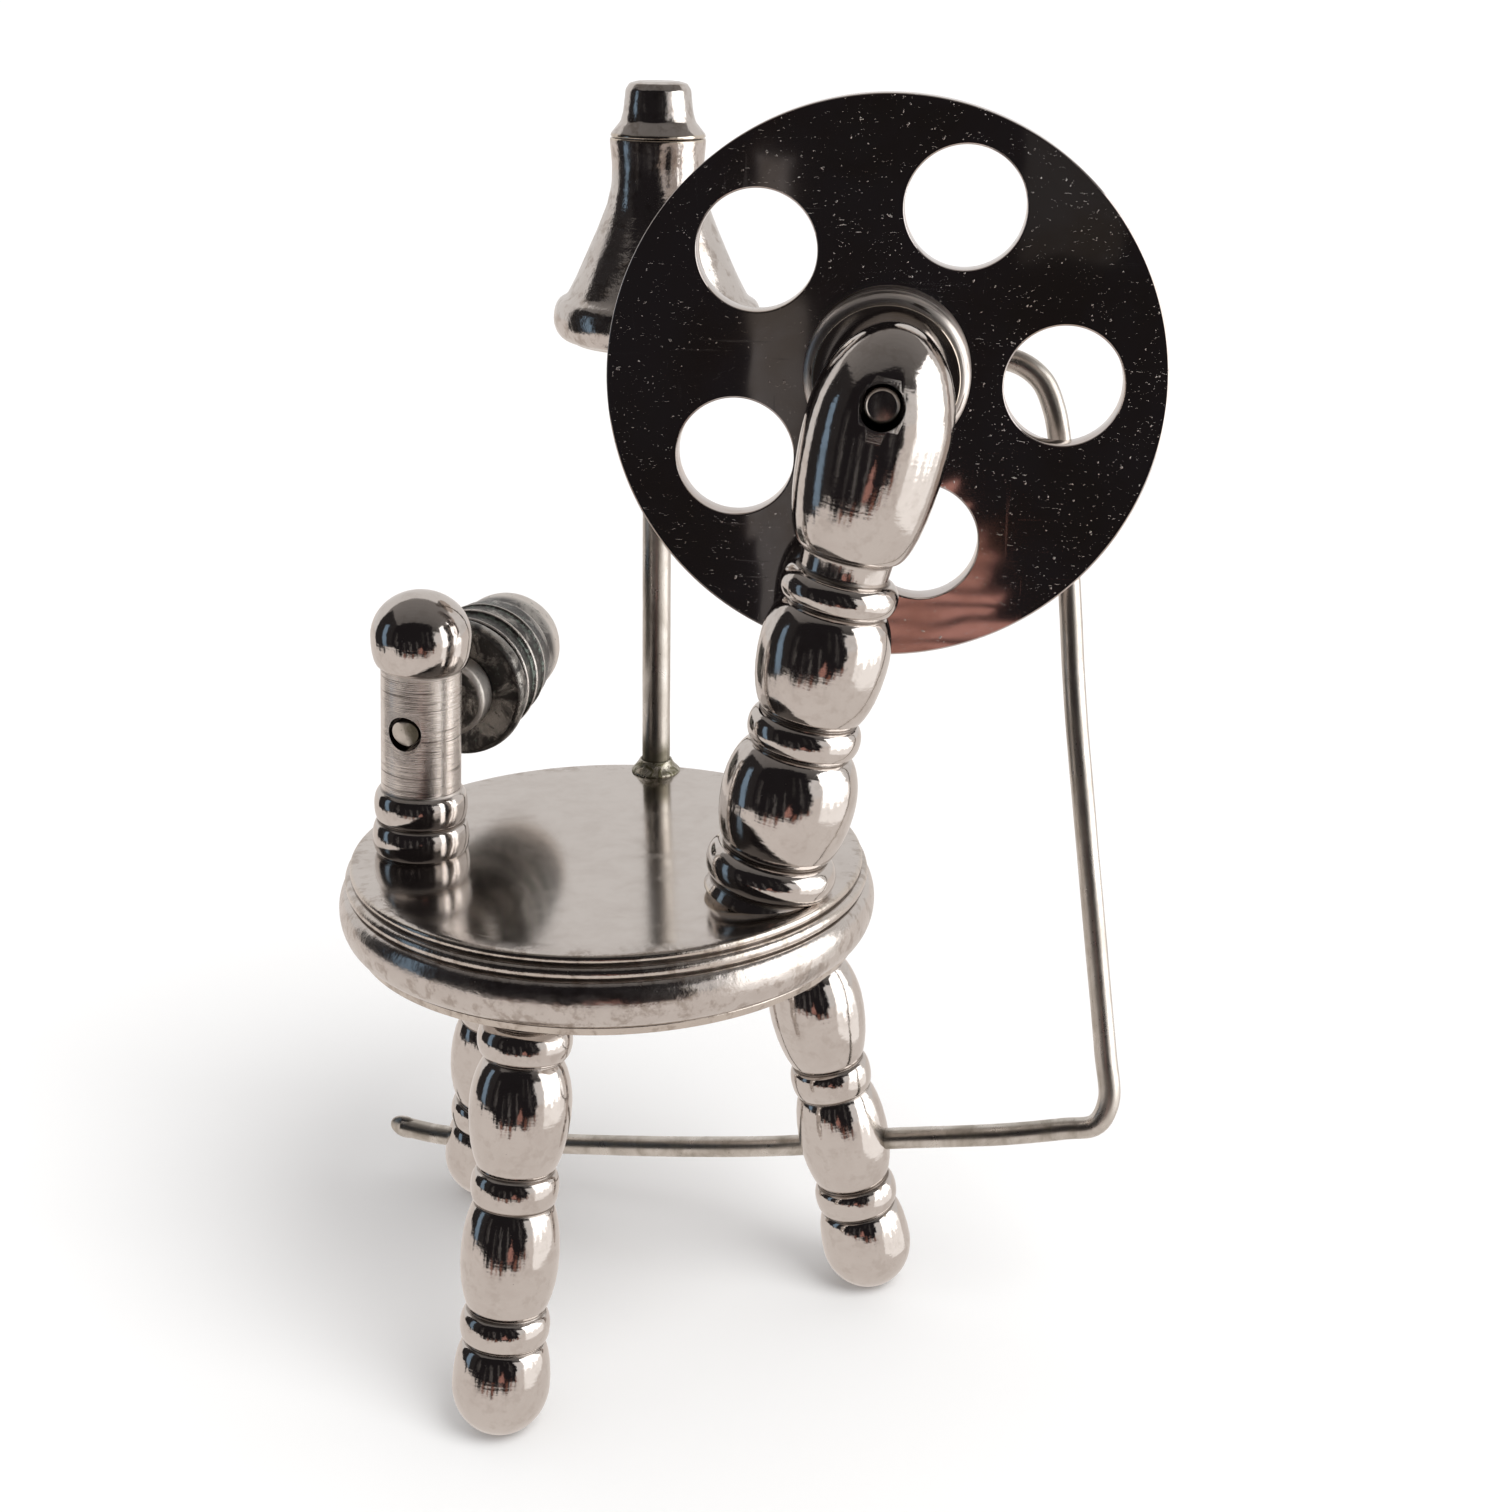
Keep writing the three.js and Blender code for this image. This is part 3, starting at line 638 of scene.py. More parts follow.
wire_metal = wire_metal_finish()
pin_profile = [(0, -2.95), (PIN_RADIUS, -2.95), (PIN_RADIUS, 22.4), (0, 22.4)]
pin_mesh = turned("flyer_pin", pin_profile, wire_metal, facets=48, unevenness=0.01, seed=31.0, softness=0.05)
stood(pin_mesh, pin_centre, pin_direction)
rightward = pin_direction.cross(Vector((0, 0, 1)))
ridge = pin_centre - (pin_direction * 2.85 - rightward * 0.15) * MM
sawn(pin_mesh, (ridge, rightward * 0.35 - pin_direction * 0.92 - Vector((0, 0, 0.15))),
     (ridge, rightward * -0.2 - pin_direction * 0.95 - Vector((0, 0, 0.2))))
# The right half of the pin's cut end is painted dark: painted shade where it sits deep in the post's hole.
tarnish_and_shade_near(pin_mesh, [(pin_centre + (rightward * 0.95 - pin_direction * 2.5) * MM, 1.15 * MM, 1.5)])
piece("flyer_pin_wire", pin_mesh, "root", "wire_metal", "flyer_pin")

# ---- Bobbin -------------------------------------------------------------------------------------
# Three small castings that turn together on the pin: a boss with a bright rim, a grooved bobbin
# and a domed cap. Unplated pewter gone dark, with verdigris in the grooves, rubbed bright on top.
def pewter_finish():
    finish = Finish("dark_pewter")
    place = finish.object_mm()
    mottle = finish.grain(place, (0.55, 0.55, 0.55), detail=6, rough=0.65, warp=0.5)
    specks = finish.grain(place, (2.3, 2.3, 2.3), detail=4, rough=0.6)
    fine = finish.grain(place, (7.0, 7.0, 7.0), detail=4, rough=0.7)
    groove = finish.mark("groove")
    worn = finish.between(finish.plus(finish.times(finish.mark("arris"), 0.65), finish.mark("bright"),
                                      finish.times(mottle, 0.5)), 0.50, 0.95)
    green = finish.between(finish.plus(specks, finish.times(groove, 0.22)), 0.60, 0.70)
    black = finish.between(finish.plus(mottle, finish.times(groove, 0.45)), 0.42, 0.58)
    colour = finish.blended(black, (0.30, 0.285, 0.265), (0.055, 0.052, 0.05))
    colour = finish.blended(worn, colour, (0.74, 0.70, 0.66))
    colour = finish.blended(finish.times(green, 0.75), colour, (0.14, 0.17, 0.15))
    roughness = finish.plus(finish.between(mottle, 0.3, 0.75, 0.20, 0.40), finish.times(worn, 0.14))
    normal = finish.relief(mottle, 0.10)
    normal = finish.relief(fine, 0.02, under=normal)
    return finish.done(colour, roughness, normal)


dark_pewter = pewter_finish()
PIN_HOLE = 1.12
BOBBIN_START = 8.1
CAP_START = 18.2
boss_profile = [(PIN_HOLE, 5.7), (1.35, 5.55), (2.75, 5.7), (3.1, 6.0), (3.1, 8.0), (PIN_HOLE, 8.0),
                (PIN_HOLE, 5.7)]
flange = [(PIN_HOLE, 0.0), (5.1, 0.0)] + swell((5.1, 0.05), (5.5, 0.9), (5.1, 1.6), 12)
barrel = [(4.8, 1.75), (4.75, 2.1), (5.15, 2.25), (5.3, 2.4), (5.1, 2.6), (4.95, 3.4), (4.9, 4.4),
          (5.2, 4.62), (5.25, 4.85), (4.8, 5.05), (4.6, 5.3), (4.85, 5.6), (4.85, 7.0), (5.05, 7.2),
          (5.0, 7.4), (4.8, 7.6), (4.75, 9.4), (4.45, 9.8), (4.5, 10.05), (PIN_HOLE, 10.05), (PIN_HOLE, 0.0)]
bobbin_profile = [(radius, height + BOBBIN_START) for radius, height in flange + barrel]
cap_profile = [(PIN_HOLE, CAP_START), (4.35, CAP_START)]
cap_profile += swell((4.35, CAP_START + 0.02), (4.42, CAP_START + 2.2), (0, CAP_START + 6.5), 36)
cap_profile += [(0, CAP_START + 4.4), (PIN_HOLE, CAP_START + 4.4), (PIN_HOLE, CAP_START)]
for part, profile, node, seed in (("boss", boss_profile, "bobbin_boss", 41.0),
                                  ("grooved_bobbin", bobbin_profile, "bobbin", 42.0),
                                  ("domed_cap", cap_profile, "bobbin_cap", 43.0)):
    part_mesh = turned(part, profile, dark_pewter, facets=112, unevenness=0.14, seed=seed, softness=0.12)
    bright = part_mesh.attributes.new("bright", "FLOAT", "POINT").data
    on_lathe = part_mesh.attributes["turned_mm"].data
    for k, spot in enumerate(on_lathe):
        depth = spot.vector.z
        away = math.hypot(spot.vector.x, spot.vector.y)
        rim = max(0.0, 1 - abs(away - 3.0) / 0.4) if part == "boss" else 0.0
        bright[k].value = max(rim, min(max((depth - 18.6) / 2.5, 0.0), 1.0))
    stood(part_mesh, pin_centre, pin_direction)
    piece(part, part_mesh, "bobbin", "dark_pewter", node)

# ---- Wheel disc ---------------------------------------------------------------------------------
# The wheel itself: a plain brass disc with five round holes, nickel plated to a dark mirror and
# scratched by handling. Its rim sits a little off the centre of its own bore.
disc_low, disc_high = (Vector(corner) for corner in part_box("wheel_disc"))
DISC_THICKNESS = disc_high.y - disc_low.y
disc_centre = Vector(((disc_low.x + disc_high.x) / 2, disc_low.y, (disc_low.z + disc_high.z) / 2))
RIM_RADIUS = (disc_high.x - disc_low.x) / 2
HOLE_RADIUS = 4.25 * MM
HOLE_CIRCLE = 12.55 * MM
HOLE_ANGLES = (65.5, 137.9, 209.8, 281.8, 356.2)


def pierced_disc():
    """A flat plate: a rim circle less a round hole at every marked centre, given a thickness."""
    inputs = (("Hole centres", "Geometry"), ("Rim radius", "Float"), ("Hole radius", "Float"),
              ("Rim centre", "Vector"), ("Thickness", "Float"), ("Finish", "Material"))
    tree, given = new_tree("pierced disc", inputs, "Disc")
    rim = tree.nodes.new("GeometryNodeCurvePrimitiveCircle")
    rim.inputs["Resolution"].default_value = 256
    link(tree, given["Rim radius"], rim.inputs["Radius"])
    set_rim = tree.nodes.new("GeometryNodeTransform")
    link(tree, rim.outputs[0], set_rim.inputs["Geometry"])
    link(tree, given["Rim centre"], set_rim.inputs["Translation"])
    hole = tree.nodes.new("GeometryNodeCurvePrimitiveCircle")
    hole.inputs["Resolution"].default_value = 112
    link(tree, given["Hole radius"], hole.inputs["Radius"])
    holes = tree.nodes.new("GeometryNodeInstanceOnPoints")
    link(tree, given["Hole centres"], holes.inputs["Points"])
    link(tree, hole.outputs[0], holes.inputs["Instance"])
    real = tree.nodes.new("GeometryNodeRealizeInstances")
    link(tree, holes.outputs[0], real.inputs[0])
    outline = tree.nodes.new("GeometryNodeJoinGeometry")
    link(tree, real.outputs[0], outline.inputs[0])
    link(tree, set_rim.outputs[0], outline.inputs[0])
    sheet = tree.nodes.new("GeometryNodeFillCurve")
    link(tree, outline.outputs[0], sheet.inputs["Curve"])
    thick = tree.nodes.new("GeometryNodeExtrudeMesh")
    thick.inputs["Individual"].default_value = False
    link(tree, sheet.outputs[0], thick.inputs["Mesh"])
    upward = tree.nodes.new("ShaderNodeCombineXYZ")
    upward.inputs[2].default_value = 1.0
    link(tree, upward.outputs[0], thick.inputs["Offset"])
    link(tree, given["Thickness"], thick.inputs["Offset Scale"])
    back = tree.nodes.new("GeometryNodeFlipFaces")
    link(tree, sheet.outputs[0], back.inputs[0])
    both = tree.nodes.new("GeometryNodeJoinGeometry")
    link(tree, thick.outputs["Mesh"], both.inputs[0])
    link(tree, back.outputs[0], both.inputs[0])
    close = tree.nodes.new("GeometryNodeMergeByDistance")
    close.inputs["Distance"].default_value = 1e-6
    link(tree, both.outputs[0], close.inputs["Geometry"])
    return ended(tree, close.outputs[0], given["Finish"])


def mirror_finish():
    finish = Finish("disc_mirror")
    place = finish.object_mm()
    haze = finish.grain(place, (0.11, 0.11, 0.11), detail=4, rough=0.6, warp=0.5)
    wave = finish.grain(place, (0.16, 0.16, 0.16), detail=1)
    specks = finish.grain(place, (3.1, 3.1, 3.1), detail=2, rough=0.5)
    lint = finish.grain(place, (1.5, 1.5, 6.5), detail=5, rough=0.6, warp=2.2)
    crumbs = finish.grain(place, (1.1, 1.1, 1.1), detail=5, rough=0.7)
    upright = finish.grain(place, (1.6, 1.0, 0.10), detail=3, rough=0.6, warp=0.3)
    elsewhere = vector_sum(finish.tree, "ADD", place, (40.0, 0.0, 12.0))
    slanted = finish.grain(elsewhere, (0.12, 1.0, 2.2), detail=3)
    dust = finish.between(finish.plus(finish.times(specks, 0.6), finish.times(crumbs, 0.4)), 0.635, 0.67)
    hairs = finish.between(lint, 0.69, 0.72)
    scratches = finish.plus(finish.between(upright, 0.66, 0.69), finish.between(slanted, 0.67, 0.70))
    marks = finish.plus(finish.times(dust, 0.45), finish.times(hairs, 0.16), finish.times(scratches, 0.16))
    colour = finish.blended(finish.between(haze, 0.35, 0.70), (0.60, 0.56, 0.55), (0.52, 0.45, 0.40))
    colour = finish.blended(marks, colour, (0.62, 0.60, 0.60))
    roughness = finish.plus(finish.between(haze, 0.35, 0.75, 0.035, 0.07), finish.times(marks, 0.40))
    normal = finish.relief(wave, 0.02)
    normal = finish.relief(finish.plus(dust, hairs), 0.02, under=normal)
    return finish.done(colour, roughness, normal)


disc_mirror = mirror_finish()
centres = bpy.data.meshes.new("hole_centres")
centres.from_pydata([(HOLE_CIRCLE * math.cos(turn), HOLE_CIRCLE * math.sin(turn), 0)
                     for turn in map(math.radians, HOLE_ANGLES)], [], [])
rim_offset = Vector((disc_centre.x - AXLE_X, disc_centre.z - AXLE_Z, 0))
disc_mesh = grown(centres, pierced_disc(), "wheel_disc", Rim_radius=RIM_RADIUS, Hole_radius=HOLE_RADIUS,
                  Rim_centre=tuple(rim_offset), Thickness=DISC_THICKNESS, Finish=disc_mirror)
plate = bmesh.new()
plate.from_mesh(disc_mesh)
bmesh.ops.remove_doubles(plate, verts=plate.verts, dist=1e-6)
bmesh.ops.recalc_face_normals(plate, faces=plate.faces)
arrises = [edge for edge in plate.edges
           if len(edge.link_faces) == 2 and edge.calc_face_angle() > math.radians(60)]
bmesh.ops.bevel(plate, geom=arrises, offset=0.13 * MM, segments=3, profile=0.5, affect="EDGES")
for face in plate.faces:
    face.smooth = abs(face.normal.z) < 0.999
plate.to_mesh(disc_mesh)
plate.free()
stand_up = Matrix(((1, 0, 0, AXLE_X), (0, 0, 1, disc_low.y), (0, 1, 0, AXLE_Z), (0, 0, 0, 1)))
disc_mesh.transform(stand_up)
disc_mesh.flip_normals()
piece("mirror_disc", disc_mesh, "wheel", "disc_mirror", "wheel_disc")

# ---- Hub, washer, axle and collar ---------------------------------------------------------------
# The hub is a turned boss soldered to the front of the disc, and a loose washer keeps it off the
# post. The axle is a plain steel pin; the collar behind the wheel is pressed on its end.
hub_low, hub_high = (Vector(corner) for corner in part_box("wheel_hub"))
on_axle = Vector((AXLE_X, 0, AXLE_Z))
hub_front = hub_low.y / MM
hub_back = hub_high.y / MM
AXLE_HOLE = 1.36
hub_profile = [(AXLE_HOLE, hub_front), (4.3, hub_front), (4.42, hub_front + 0.5)]
hub_profile += [(5.13 - 0.78 * math.cos(turn), hub_front + 0.72 - 0.68 * math.sin(turn))
                for turn in np.linspace(0.15, math.pi - 0.1, 20)]
hub_profile += [(5.93, hub_front + 1.05), (5.75, hub_front + 1.2), (5.95, hub_front + 1.4), (5.95, hub_back),
                (AXLE_HOLE, hub_back)]
hub_profile += [(AXLE_HOLE, hub_front)]
hub_mesh = turned("wheel_hub", hub_profile, polished_nickel, facets=128, unevenness=0.02, seed=50.0,
                  softness=0.07)
marked_all_over(hub_mesh, "as_turned", lambda spot: 2.2 if math.hypot(spot.x, spot.y) > 4.35 else 0)
stood(hub_mesh, on_axle, (0, 1, 0))
tarnish_and_shade_near(hub_mesh, [(Vector((AXLE_X, hub_high.y, AXLE_Z)), 5.4 * MM, 0.4)])
piece("hub_boss", hub_mesh, "wheel", "polished_nickel", "wheel_hub")

washer_low, washer_high = (Vector(corner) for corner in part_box("hub_washer"))
washer_front = washer_low.y / MM
washer_back = washer_high.y / MM
washer_profile = [(AXLE_HOLE, washer_front), (5.2, washer_front), (5.2, washer_back),
                  (AXLE_HOLE, washer_back)]
washer_mesh = turned("hub_washer", washer_profile + washer_profile[:1], polished_nickel, facets=112,
                     unevenness=0.02, seed=51.0, softness=0.09)
stood(washer_mesh, on_axle, (0, 1, 0))
piece("loose_washer", washer_mesh, "root", "polished_nickel", "hub_washer")


def steel_finish():
    finish = Finish("plain_steel")
    place = finish.object_mm()
    rings = finish.grain(finish.mark("turned_mm", vector=True), (0.3, 0.3, 12.0), detail=3)
    haze = finish.grain(place, (0.8, 0.8, 0.8), detail=5, rough=0.6)
    colour = finish.blended(finish.between(haze, 0.35, 0.7), (0.56, 0.54, 0.52), (0.30, 0.27, 0.24))
    roughness = finish.between(haze, 0.3, 0.7, 0.12, 0.28)
    normal = finish.relief(rings, 0.004)
    return finish.done(colour, roughness, normal)


plain_steel = steel_finish()
axle_front = axle_low.y / MM
axle_back = axle_high.y / MM
CHAMFER = 0.25
axle_profile = [(0, axle_front), (AXLE_RADIUS - CHAMFER, axle_front), (AXLE_RADIUS, axle_front + CHAMFER),
                (AXLE_RADIUS, axle_back - CHAMFER), (AXLE_RADIUS - CHAMFER, axle_back), (0, axle_back)]
axle_mesh = turned("wheel_axle", axle_profile, plain_steel, facets=72, unevenness=0.01, seed=52.0,
                   softness=0.05)
stood(axle_mesh, on_axle, (0, 1, 0))
piece("steel_axle", axle_mesh, "root", "plain_steel", "wheel_axle")

collar_low, collar_high = (Vector(corner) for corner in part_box("axle_collar"))
collar_radius = (collar_high.x - collar_low.x) / 2 / MM
front, back = collar_low.y / MM, collar_high.y / MM
collar_bore = AXLE_RADIUS + 0.02
collar_profile = [(collar_bore, front), (collar_radius - 0.3, front), (collar_radius, front + 0.3),
                  (collar_radius, back - 0.3), (collar_radius - 0.3, back), (collar_bore, back),
                  (collar_bore, front)]
collar_mesh = turned("axle_collar", collar_profile, wire_metal, facets=96, unevenness=0.02, seed=53.0)
stood(collar_mesh, on_axle, (0, 1, 0))
wire_on_collar = Vector((AXLE_X + collar_radius * MM, (front + back) / 2 * MM, AXLE_Z))
tarnish_and_shade_near(collar_mesh, [(wire_on_collar, 2 * MM, 0.8)])
piece("axle_collar_ring", collar_mesh, "root", "wire_metal", "axle_collar")

# ---- Distaff ------------------------------------------------------------------------------------
# A straight wire rod soldered to the back of the table, with a turned bell threaded on near its
# top and a small stepped finial above it. Bell and finial are nickel plated, the rod is bare.
ROD_LEAN = math.radians(1.05)
rod_direction = Vector((math.sin(ROD_LEAN), 0, math.cos(ROD_LEAN)))
rod_profile = [(0, -0.4), (1.15, -0.4), (1.15, 52.9), (0, 52.9)]
rod_mesh = turned("distaff_rod", rod_profile, wire_metal, facets=64, unevenness=0.05, seed=60.0)
stood(rod_mesh, ROD_FOOT, rod_direction)
tarnish_and_shade_near(rod_mesh, [(ROD_FOOT, 5.0 * MM, 0.9)])
piece("distaff_wire_rod", rod_mesh, "root", "wire_metal", "distaff_rod")

bell_profile = [(1.2, 35.7), (6.4, 35.7)] + swell((6.9, 36.0), (8.1, 37.6), (7.4, 39.2), 26)
bell_profile += [(7.0, 39.5), (6.1, 41.2), (5.35, 42.9), (4.6, 44.6), (3.9, 46.3), (3.55, 47.9), (3.5, 49.2),
                 (3.7, 51.3), (1.2, 51.3), (1.2, 35.7)]
bell_mesh = turned("distaff_bell", bell_profile, polished_nickel, facets=128, unevenness=0.16, seed=61.0,
                   softness=0.16)
marked_all_over(bell_mesh, "handled", lambda spot: 0.7)
stood(bell_mesh, ROD_FOOT, rod_direction)
tarnish_and_shade_near(bell_mesh, [(ROD_FOOT + rod_direction * 51.3 * MM, 4.4 * MM, 0.35)])
piece("distaff_turned_bell", bell_mesh, "root", "polished_nickel", "distaff_bell")

finial_profile = [(0, 51.35), (3.65, 51.35), (3.6, 51.6), (3.2, 52.05), (2.85, 52.5), (2.66, 53.2),
                  (2.56, 54.3), (2.5, 54.8), (2.2, 55.25), (1.6, 55.4), (0, 55.4)]
finial_mesh = turned("distaff_finial", finial_profile, polished_nickel, facets=96, unevenness=0.18, seed=62.0,
                     softness=0.09)
marked_all_over(finial_mesh, "handled", lambda spot: 0.6)
stood(finial_mesh, ROD_FOOT, rod_direction)
tarnish_and_shade_near(finial_mesh, [(ROD_FOOT + rod_direction * 51.4 * MM, 4.0 * MM, 0.3)])
piece("distaff_stepped_finial", finial_mesh, "root", "polished_nickel", "distaff_finial")


def solder_finish():
    finish = Finish("solder")
    place = finish.object_mm()
    lumps = finish.grain(place, (1.4, 1.4, 1.4), detail=5, rough=0.6, warp=0.6)
    colour = finish.blended(finish.between(lumps, 0.42, 0.62), (0.50, 0.47, 0.40), (0.17, 0.16, 0.10))
    roughness = finish.between(lumps, 0.35, 0.65, 0.22, 0.48)
    return finish.done(colour, roughness, finish.relief(lumps, 0.12))


solder_profile = [(1.2, -0.02), (2.1, -0.02), (2.05, 0.12), (1.7, 0.45), (1.45, 0.8), (1.35, 1.08),
                  (1.2, 1.1), (1.2, -0.02)]
solder_mesh = turned("rod_solder", solder_profile, solder_finish(), facets=72, unevenness=0.5, seed=63.0)
stood(solder_mesh, ROD_FOOT, rod_direction)
piece("solder_fillet", solder_mesh, "root", "solder", "rod_solder")

# ---- Footman wire -------------------------------------------------------------------------------
# One length of hard wire bent by hand: out of the axle's collar, down beside the wheel, then back
# under the table through the right leg and the back leg, its far end hammered flat.
WIRE_RADIUS = 0.85
WIRE_BENDS = [(21.95, 8, 74.75), (25, 8, 74.75), (29.6, 8, 74.75), (31.7, 8, 73.4), (32.7, 7.9, 71.4),
              (33.4, 7.6, 68), (34.4, 5.8, 58), (35.1, 4.1, 50), (36.5, 1.9, 38.5), (38.4, -1.1, 23.4),
              (38.8, -2, 19.6), (37.9, -2.2, 17.6), (35.6, -1.6, 16.8), (30.7, -0.4, 15.4), (22.2, 1.5, 13.6),
              (18.5, 2.5, 12.6), (13.8, 4.1, 11.1), (6.1, 6.8, 9.1), (-2.8, 9.9, 7.1), (-12.1, 13.1, 5.3),
              (-18.2, 15.2, 4.5), (-21.4, 16.3, 4.5)]


def bent_path(bends, steps=9):
    """A smooth path through the bends, without overshoot at the tight ones."""
    points = [Vector(bend) for bend in bends]
    points = [points[0] * 2 - points[1]] + points + [points[-1] * 2 - points[-2]]
    path = []
    for k in range(1, len(points) - 2):
        before, start, end, after = points[k - 1:k + 3]
        knots = [0.0]
        for first, second in ((before, start), (start, end), (end, after)):
            knots.append(knots[-1] + math.sqrt((second - first).length))
        for step in range(steps):
            t = knots[1] + (knots[2] - knots[1]) * step / steps
            a1 = before.lerp(start, (t - knots[0]) / (knots[1] - knots[0]))
            a2 = start.lerp(end, (t - knots[1]) / (knots[2] - knots[1]))
            a3 = end.lerp(after, (t - knots[2]) / (knots[3] - knots[2]))
            b1 = a1.lerp(a2, (t - knots[0]) / (knots[2] - knots[0]))
            b2 = a2.lerp(a3, (t - knots[1]) / (knots[3] - knots[1]))
            path.append(b1.lerp(b2, (t - knots[1]) / (knots[2] - knots[1])))
    path.append(points[-2])
    return path


def drawn_wire():
    """Sweeps a round section along a bent path, a little uneven where it was gripped."""
    inputs = (("Path", "Geometry"), ("Wire radius", "Float"), ("Unevenness", "Float"), ("Seed", "Float"),
              ("Finish", "Material"))
    tree, given = new_tree("drawn wire", inputs, "Wire")
    curve = tree.nodes.new("GeometryNodeMeshToCurve")
    link(tree, given["Path"], curve.inputs["Mesh"])
    even = tree.nodes.new("GeometryNodeResampleCurve")
    even.mode = "LENGTH"
    even.inputs["Length"].default_value = 0.35 * MM
    link(tree, curve.outputs[0], even.inputs["Curve"])
    along = tree.nodes.new("GeometryNodeSplineParameter")
    travelled = tree.nodes.new("GeometryNodeStoreNamedAttribute")
    travelled.data_type = "FLOAT"
    travelled.inputs["Name"].default_value = "travelled"
    link(tree, even.outputs[0], travelled.inputs["Geometry"])
    link(tree, along.outputs["Length"], travelled.inputs["Value"])
    section = tree.nodes.new("GeometryNodeCurvePrimitiveCircle")
    section.inputs["Resolution"].default_value = 40
    link(tree, given["Wire radius"], section.inputs["Radius"])
    swept = tree.nodes.new("GeometryNodeCurveToMesh")
    swept.inputs["Fill Caps"].default_value = True
    link(tree, travelled.outputs[0], swept.inputs["Curve"])
    link(tree, section.outputs[0], swept.inputs["Profile Curve"])
    bumps = tree.nodes.new("ShaderNodeTexNoise")
    bumps.noise_dimensions = "4D"
    bumps.inputs["Scale"].default_value = 130
    link(tree, given["Seed"], bumps.inputs["W"])
    normal = tree.nodes.new("GeometryNodeInputNormal")
    push = sum_of(tree, "MULTIPLY", sum_of(tree, "SUBTRACT", bumps.outputs[0], 0.5), given["Unevenness"])
    moved = tree.nodes.new("GeometryNodeSetPosition")
    link(tree, swept.outputs[0], moved.inputs["Geometry"])
    link(tree, vector_sum(tree, "SCALE", normal.outputs[0], None, push), moved.inputs["Offset"])
    smooth = tree.nodes.new("GeometryNodeSetShadeSmooth")
    link(tree, moved.outputs[0], smooth.inputs[0])
    return ended(tree, smooth.outputs[0], given["Finish"])


path = [table_axis + point * MM for point in bent_path(WIRE_BENDS)]
path_mesh = bpy.data.meshes.new("wire_path")
path_mesh.from_pydata(path, [(k, k + 1) for k in range(len(path) - 1)], [])
wire_mesh = grown(path_mesh, drawn_wire(), "footman_wire", Wire_radius=WIRE_RADIUS * MM, Unevenness=0.10 * MM,
                  Seed=7.0, Finish=wire_metal)
wire_shape = bmesh.new()
wire_shape.from_mesh(wire_mesh)
flat_end = table_axis + Vector((-21.3, 16.25, 4.5)) * MM
hammered = Matrix.Translation(flat_end) @ Matrix.Rotation(math.radians(-19), 4, "Z")
hammered = hammered @ Matrix.Diagonal((1.5 * MM, 0.55 * MM, 1.05 * MM, 1))
bmesh.ops.create_uvsphere(wire_shape, u_segments=40, v_segments=24, radius=1.0, matrix=hammered)
FIXED_ORDER = Vector((1.0, 7.3, 53.1))  # the sphere's own order of corners and faces changes between runs
wire_shape.verts.sort(key=lambda vertex: vertex.co.dot(FIXED_ORDER))
wire_shape.faces.sort(key=lambda face: face.calc_center_median().dot(FIXED_ORDER))
for face in wire_shape.faces:
    face.smooth = True
bmesh.ops.recalc_face_normals(wire_shape, faces=wire_shape.faces)
wire_shape.to_mesh(wire_mesh)
wire_shape.free()
travelled = wire_mesh.attributes["travelled"].data
coords = wire_mesh.attributes.new("turned_mm", "FLOAT_VECTOR", "POINT").data
for k, vertex in enumerate(wire_mesh.vertices):
    coords[k].vector = (vertex.co.x / MM * 0.3, vertex.co.y / MM * 0.3, travelled[k].value / MM)
# The run under the table is painted darker along its length, and the wire is painted dark where it passes
# through the legs, as painted shade of the legs' bores.
lower_run = [(table_axis + Vector(bend) * MM, 6.5 * MM, 0.34) for bend in WIRE_BENDS[12:]]
tarnish_and_shade_near(wire_mesh, lower_run + [(place, 4.6 * MM, 0.75) for place in WIRE_THROUGH_LEGS])
piece("bent_footman_wire", wire_mesh, "root", "wire_metal", "footman_wire")

# ---- Studio -------------------------------------------------------------------------------------
# A plain pale floor and a white backdrop under soft light. Polished metal shows only what stands
# round it, so cards that only reflections see stand round the ornament: a black flag in front, a
# bright window at the right, a cool strip at the left, a dim ceiling and warm strips in front.
world = bpy.data.worlds.new("studio")
world.use_nodes = True
world.node_tree.nodes["Background"].inputs["Color"].default_value = (1.0, 0.965, 0.94, 1)
world.node_tree.nodes["Background"].inputs["Strength"].default_value = 0.80
bpy.context.scene.world = world
bpy.context.scene.view_settings.view_transform = "Standard"

floor_material = bpy.data.materials.new("pale_floor")
floor_material.use_nodes = True
floor_shader = floor_material.node_tree.nodes["Principled BSDF"]
floor_shader.inputs["Base Color"].default_value = (0.93, 0.95, 0.97, 1)
floor_shader.inputs["Roughness"].default_value = 0.9
FLOOR = 4.0
floor_mesh = bpy.data.meshes.new("floor")
floor_mesh.from_pydata([(-FLOOR, -FLOOR, 0), (FLOOR, -FLOOR, 0), (FLOOR, FLOOR, 0), (-FLOOR, FLOOR, 0)], [],
                       [(0, 1, 2, 3)])
floor_mesh.materials.append(floor_material)
floor = bpy.data.objects.new("floor", floor_mesh)
floor.visible_glossy = False
bpy.context.collection.objects.link(floor)

backdrop_paint = bpy.data.materials.new("backdrop")
backdrop_paint.use_nodes = True
backdrop_shader = backdrop_paint.node_tree.nodes["Principled BSDF"]
backdrop_shader.inputs["Base Color"].default_value = (0, 0, 0, 1)
backdrop_shader.inputs["Emission Color"].default_value = (1, 1, 1, 1)
backdrop_shader.inputs["Emission Strength"].default_value = 1.0
dome = bmesh.new()
bmesh.ops.create_uvsphere(dome, u_segments=48, v_segments=24, radius=FLOOR * 0.95)
backdrop_mesh = bpy.data.meshes.new("backdrop")
dome.to_mesh(backdrop_mesh)
dome.free()
backdrop_mesh.materials.append(backdrop_paint)
backdrop = bpy.data.objects.new("backdrop", backdrop_mesh)
bpy.context.collection.objects.link(backdrop)
backdrop.visible_diffuse = False
backdrop.visible_glossy = False
backdrop.visible_shadow = False


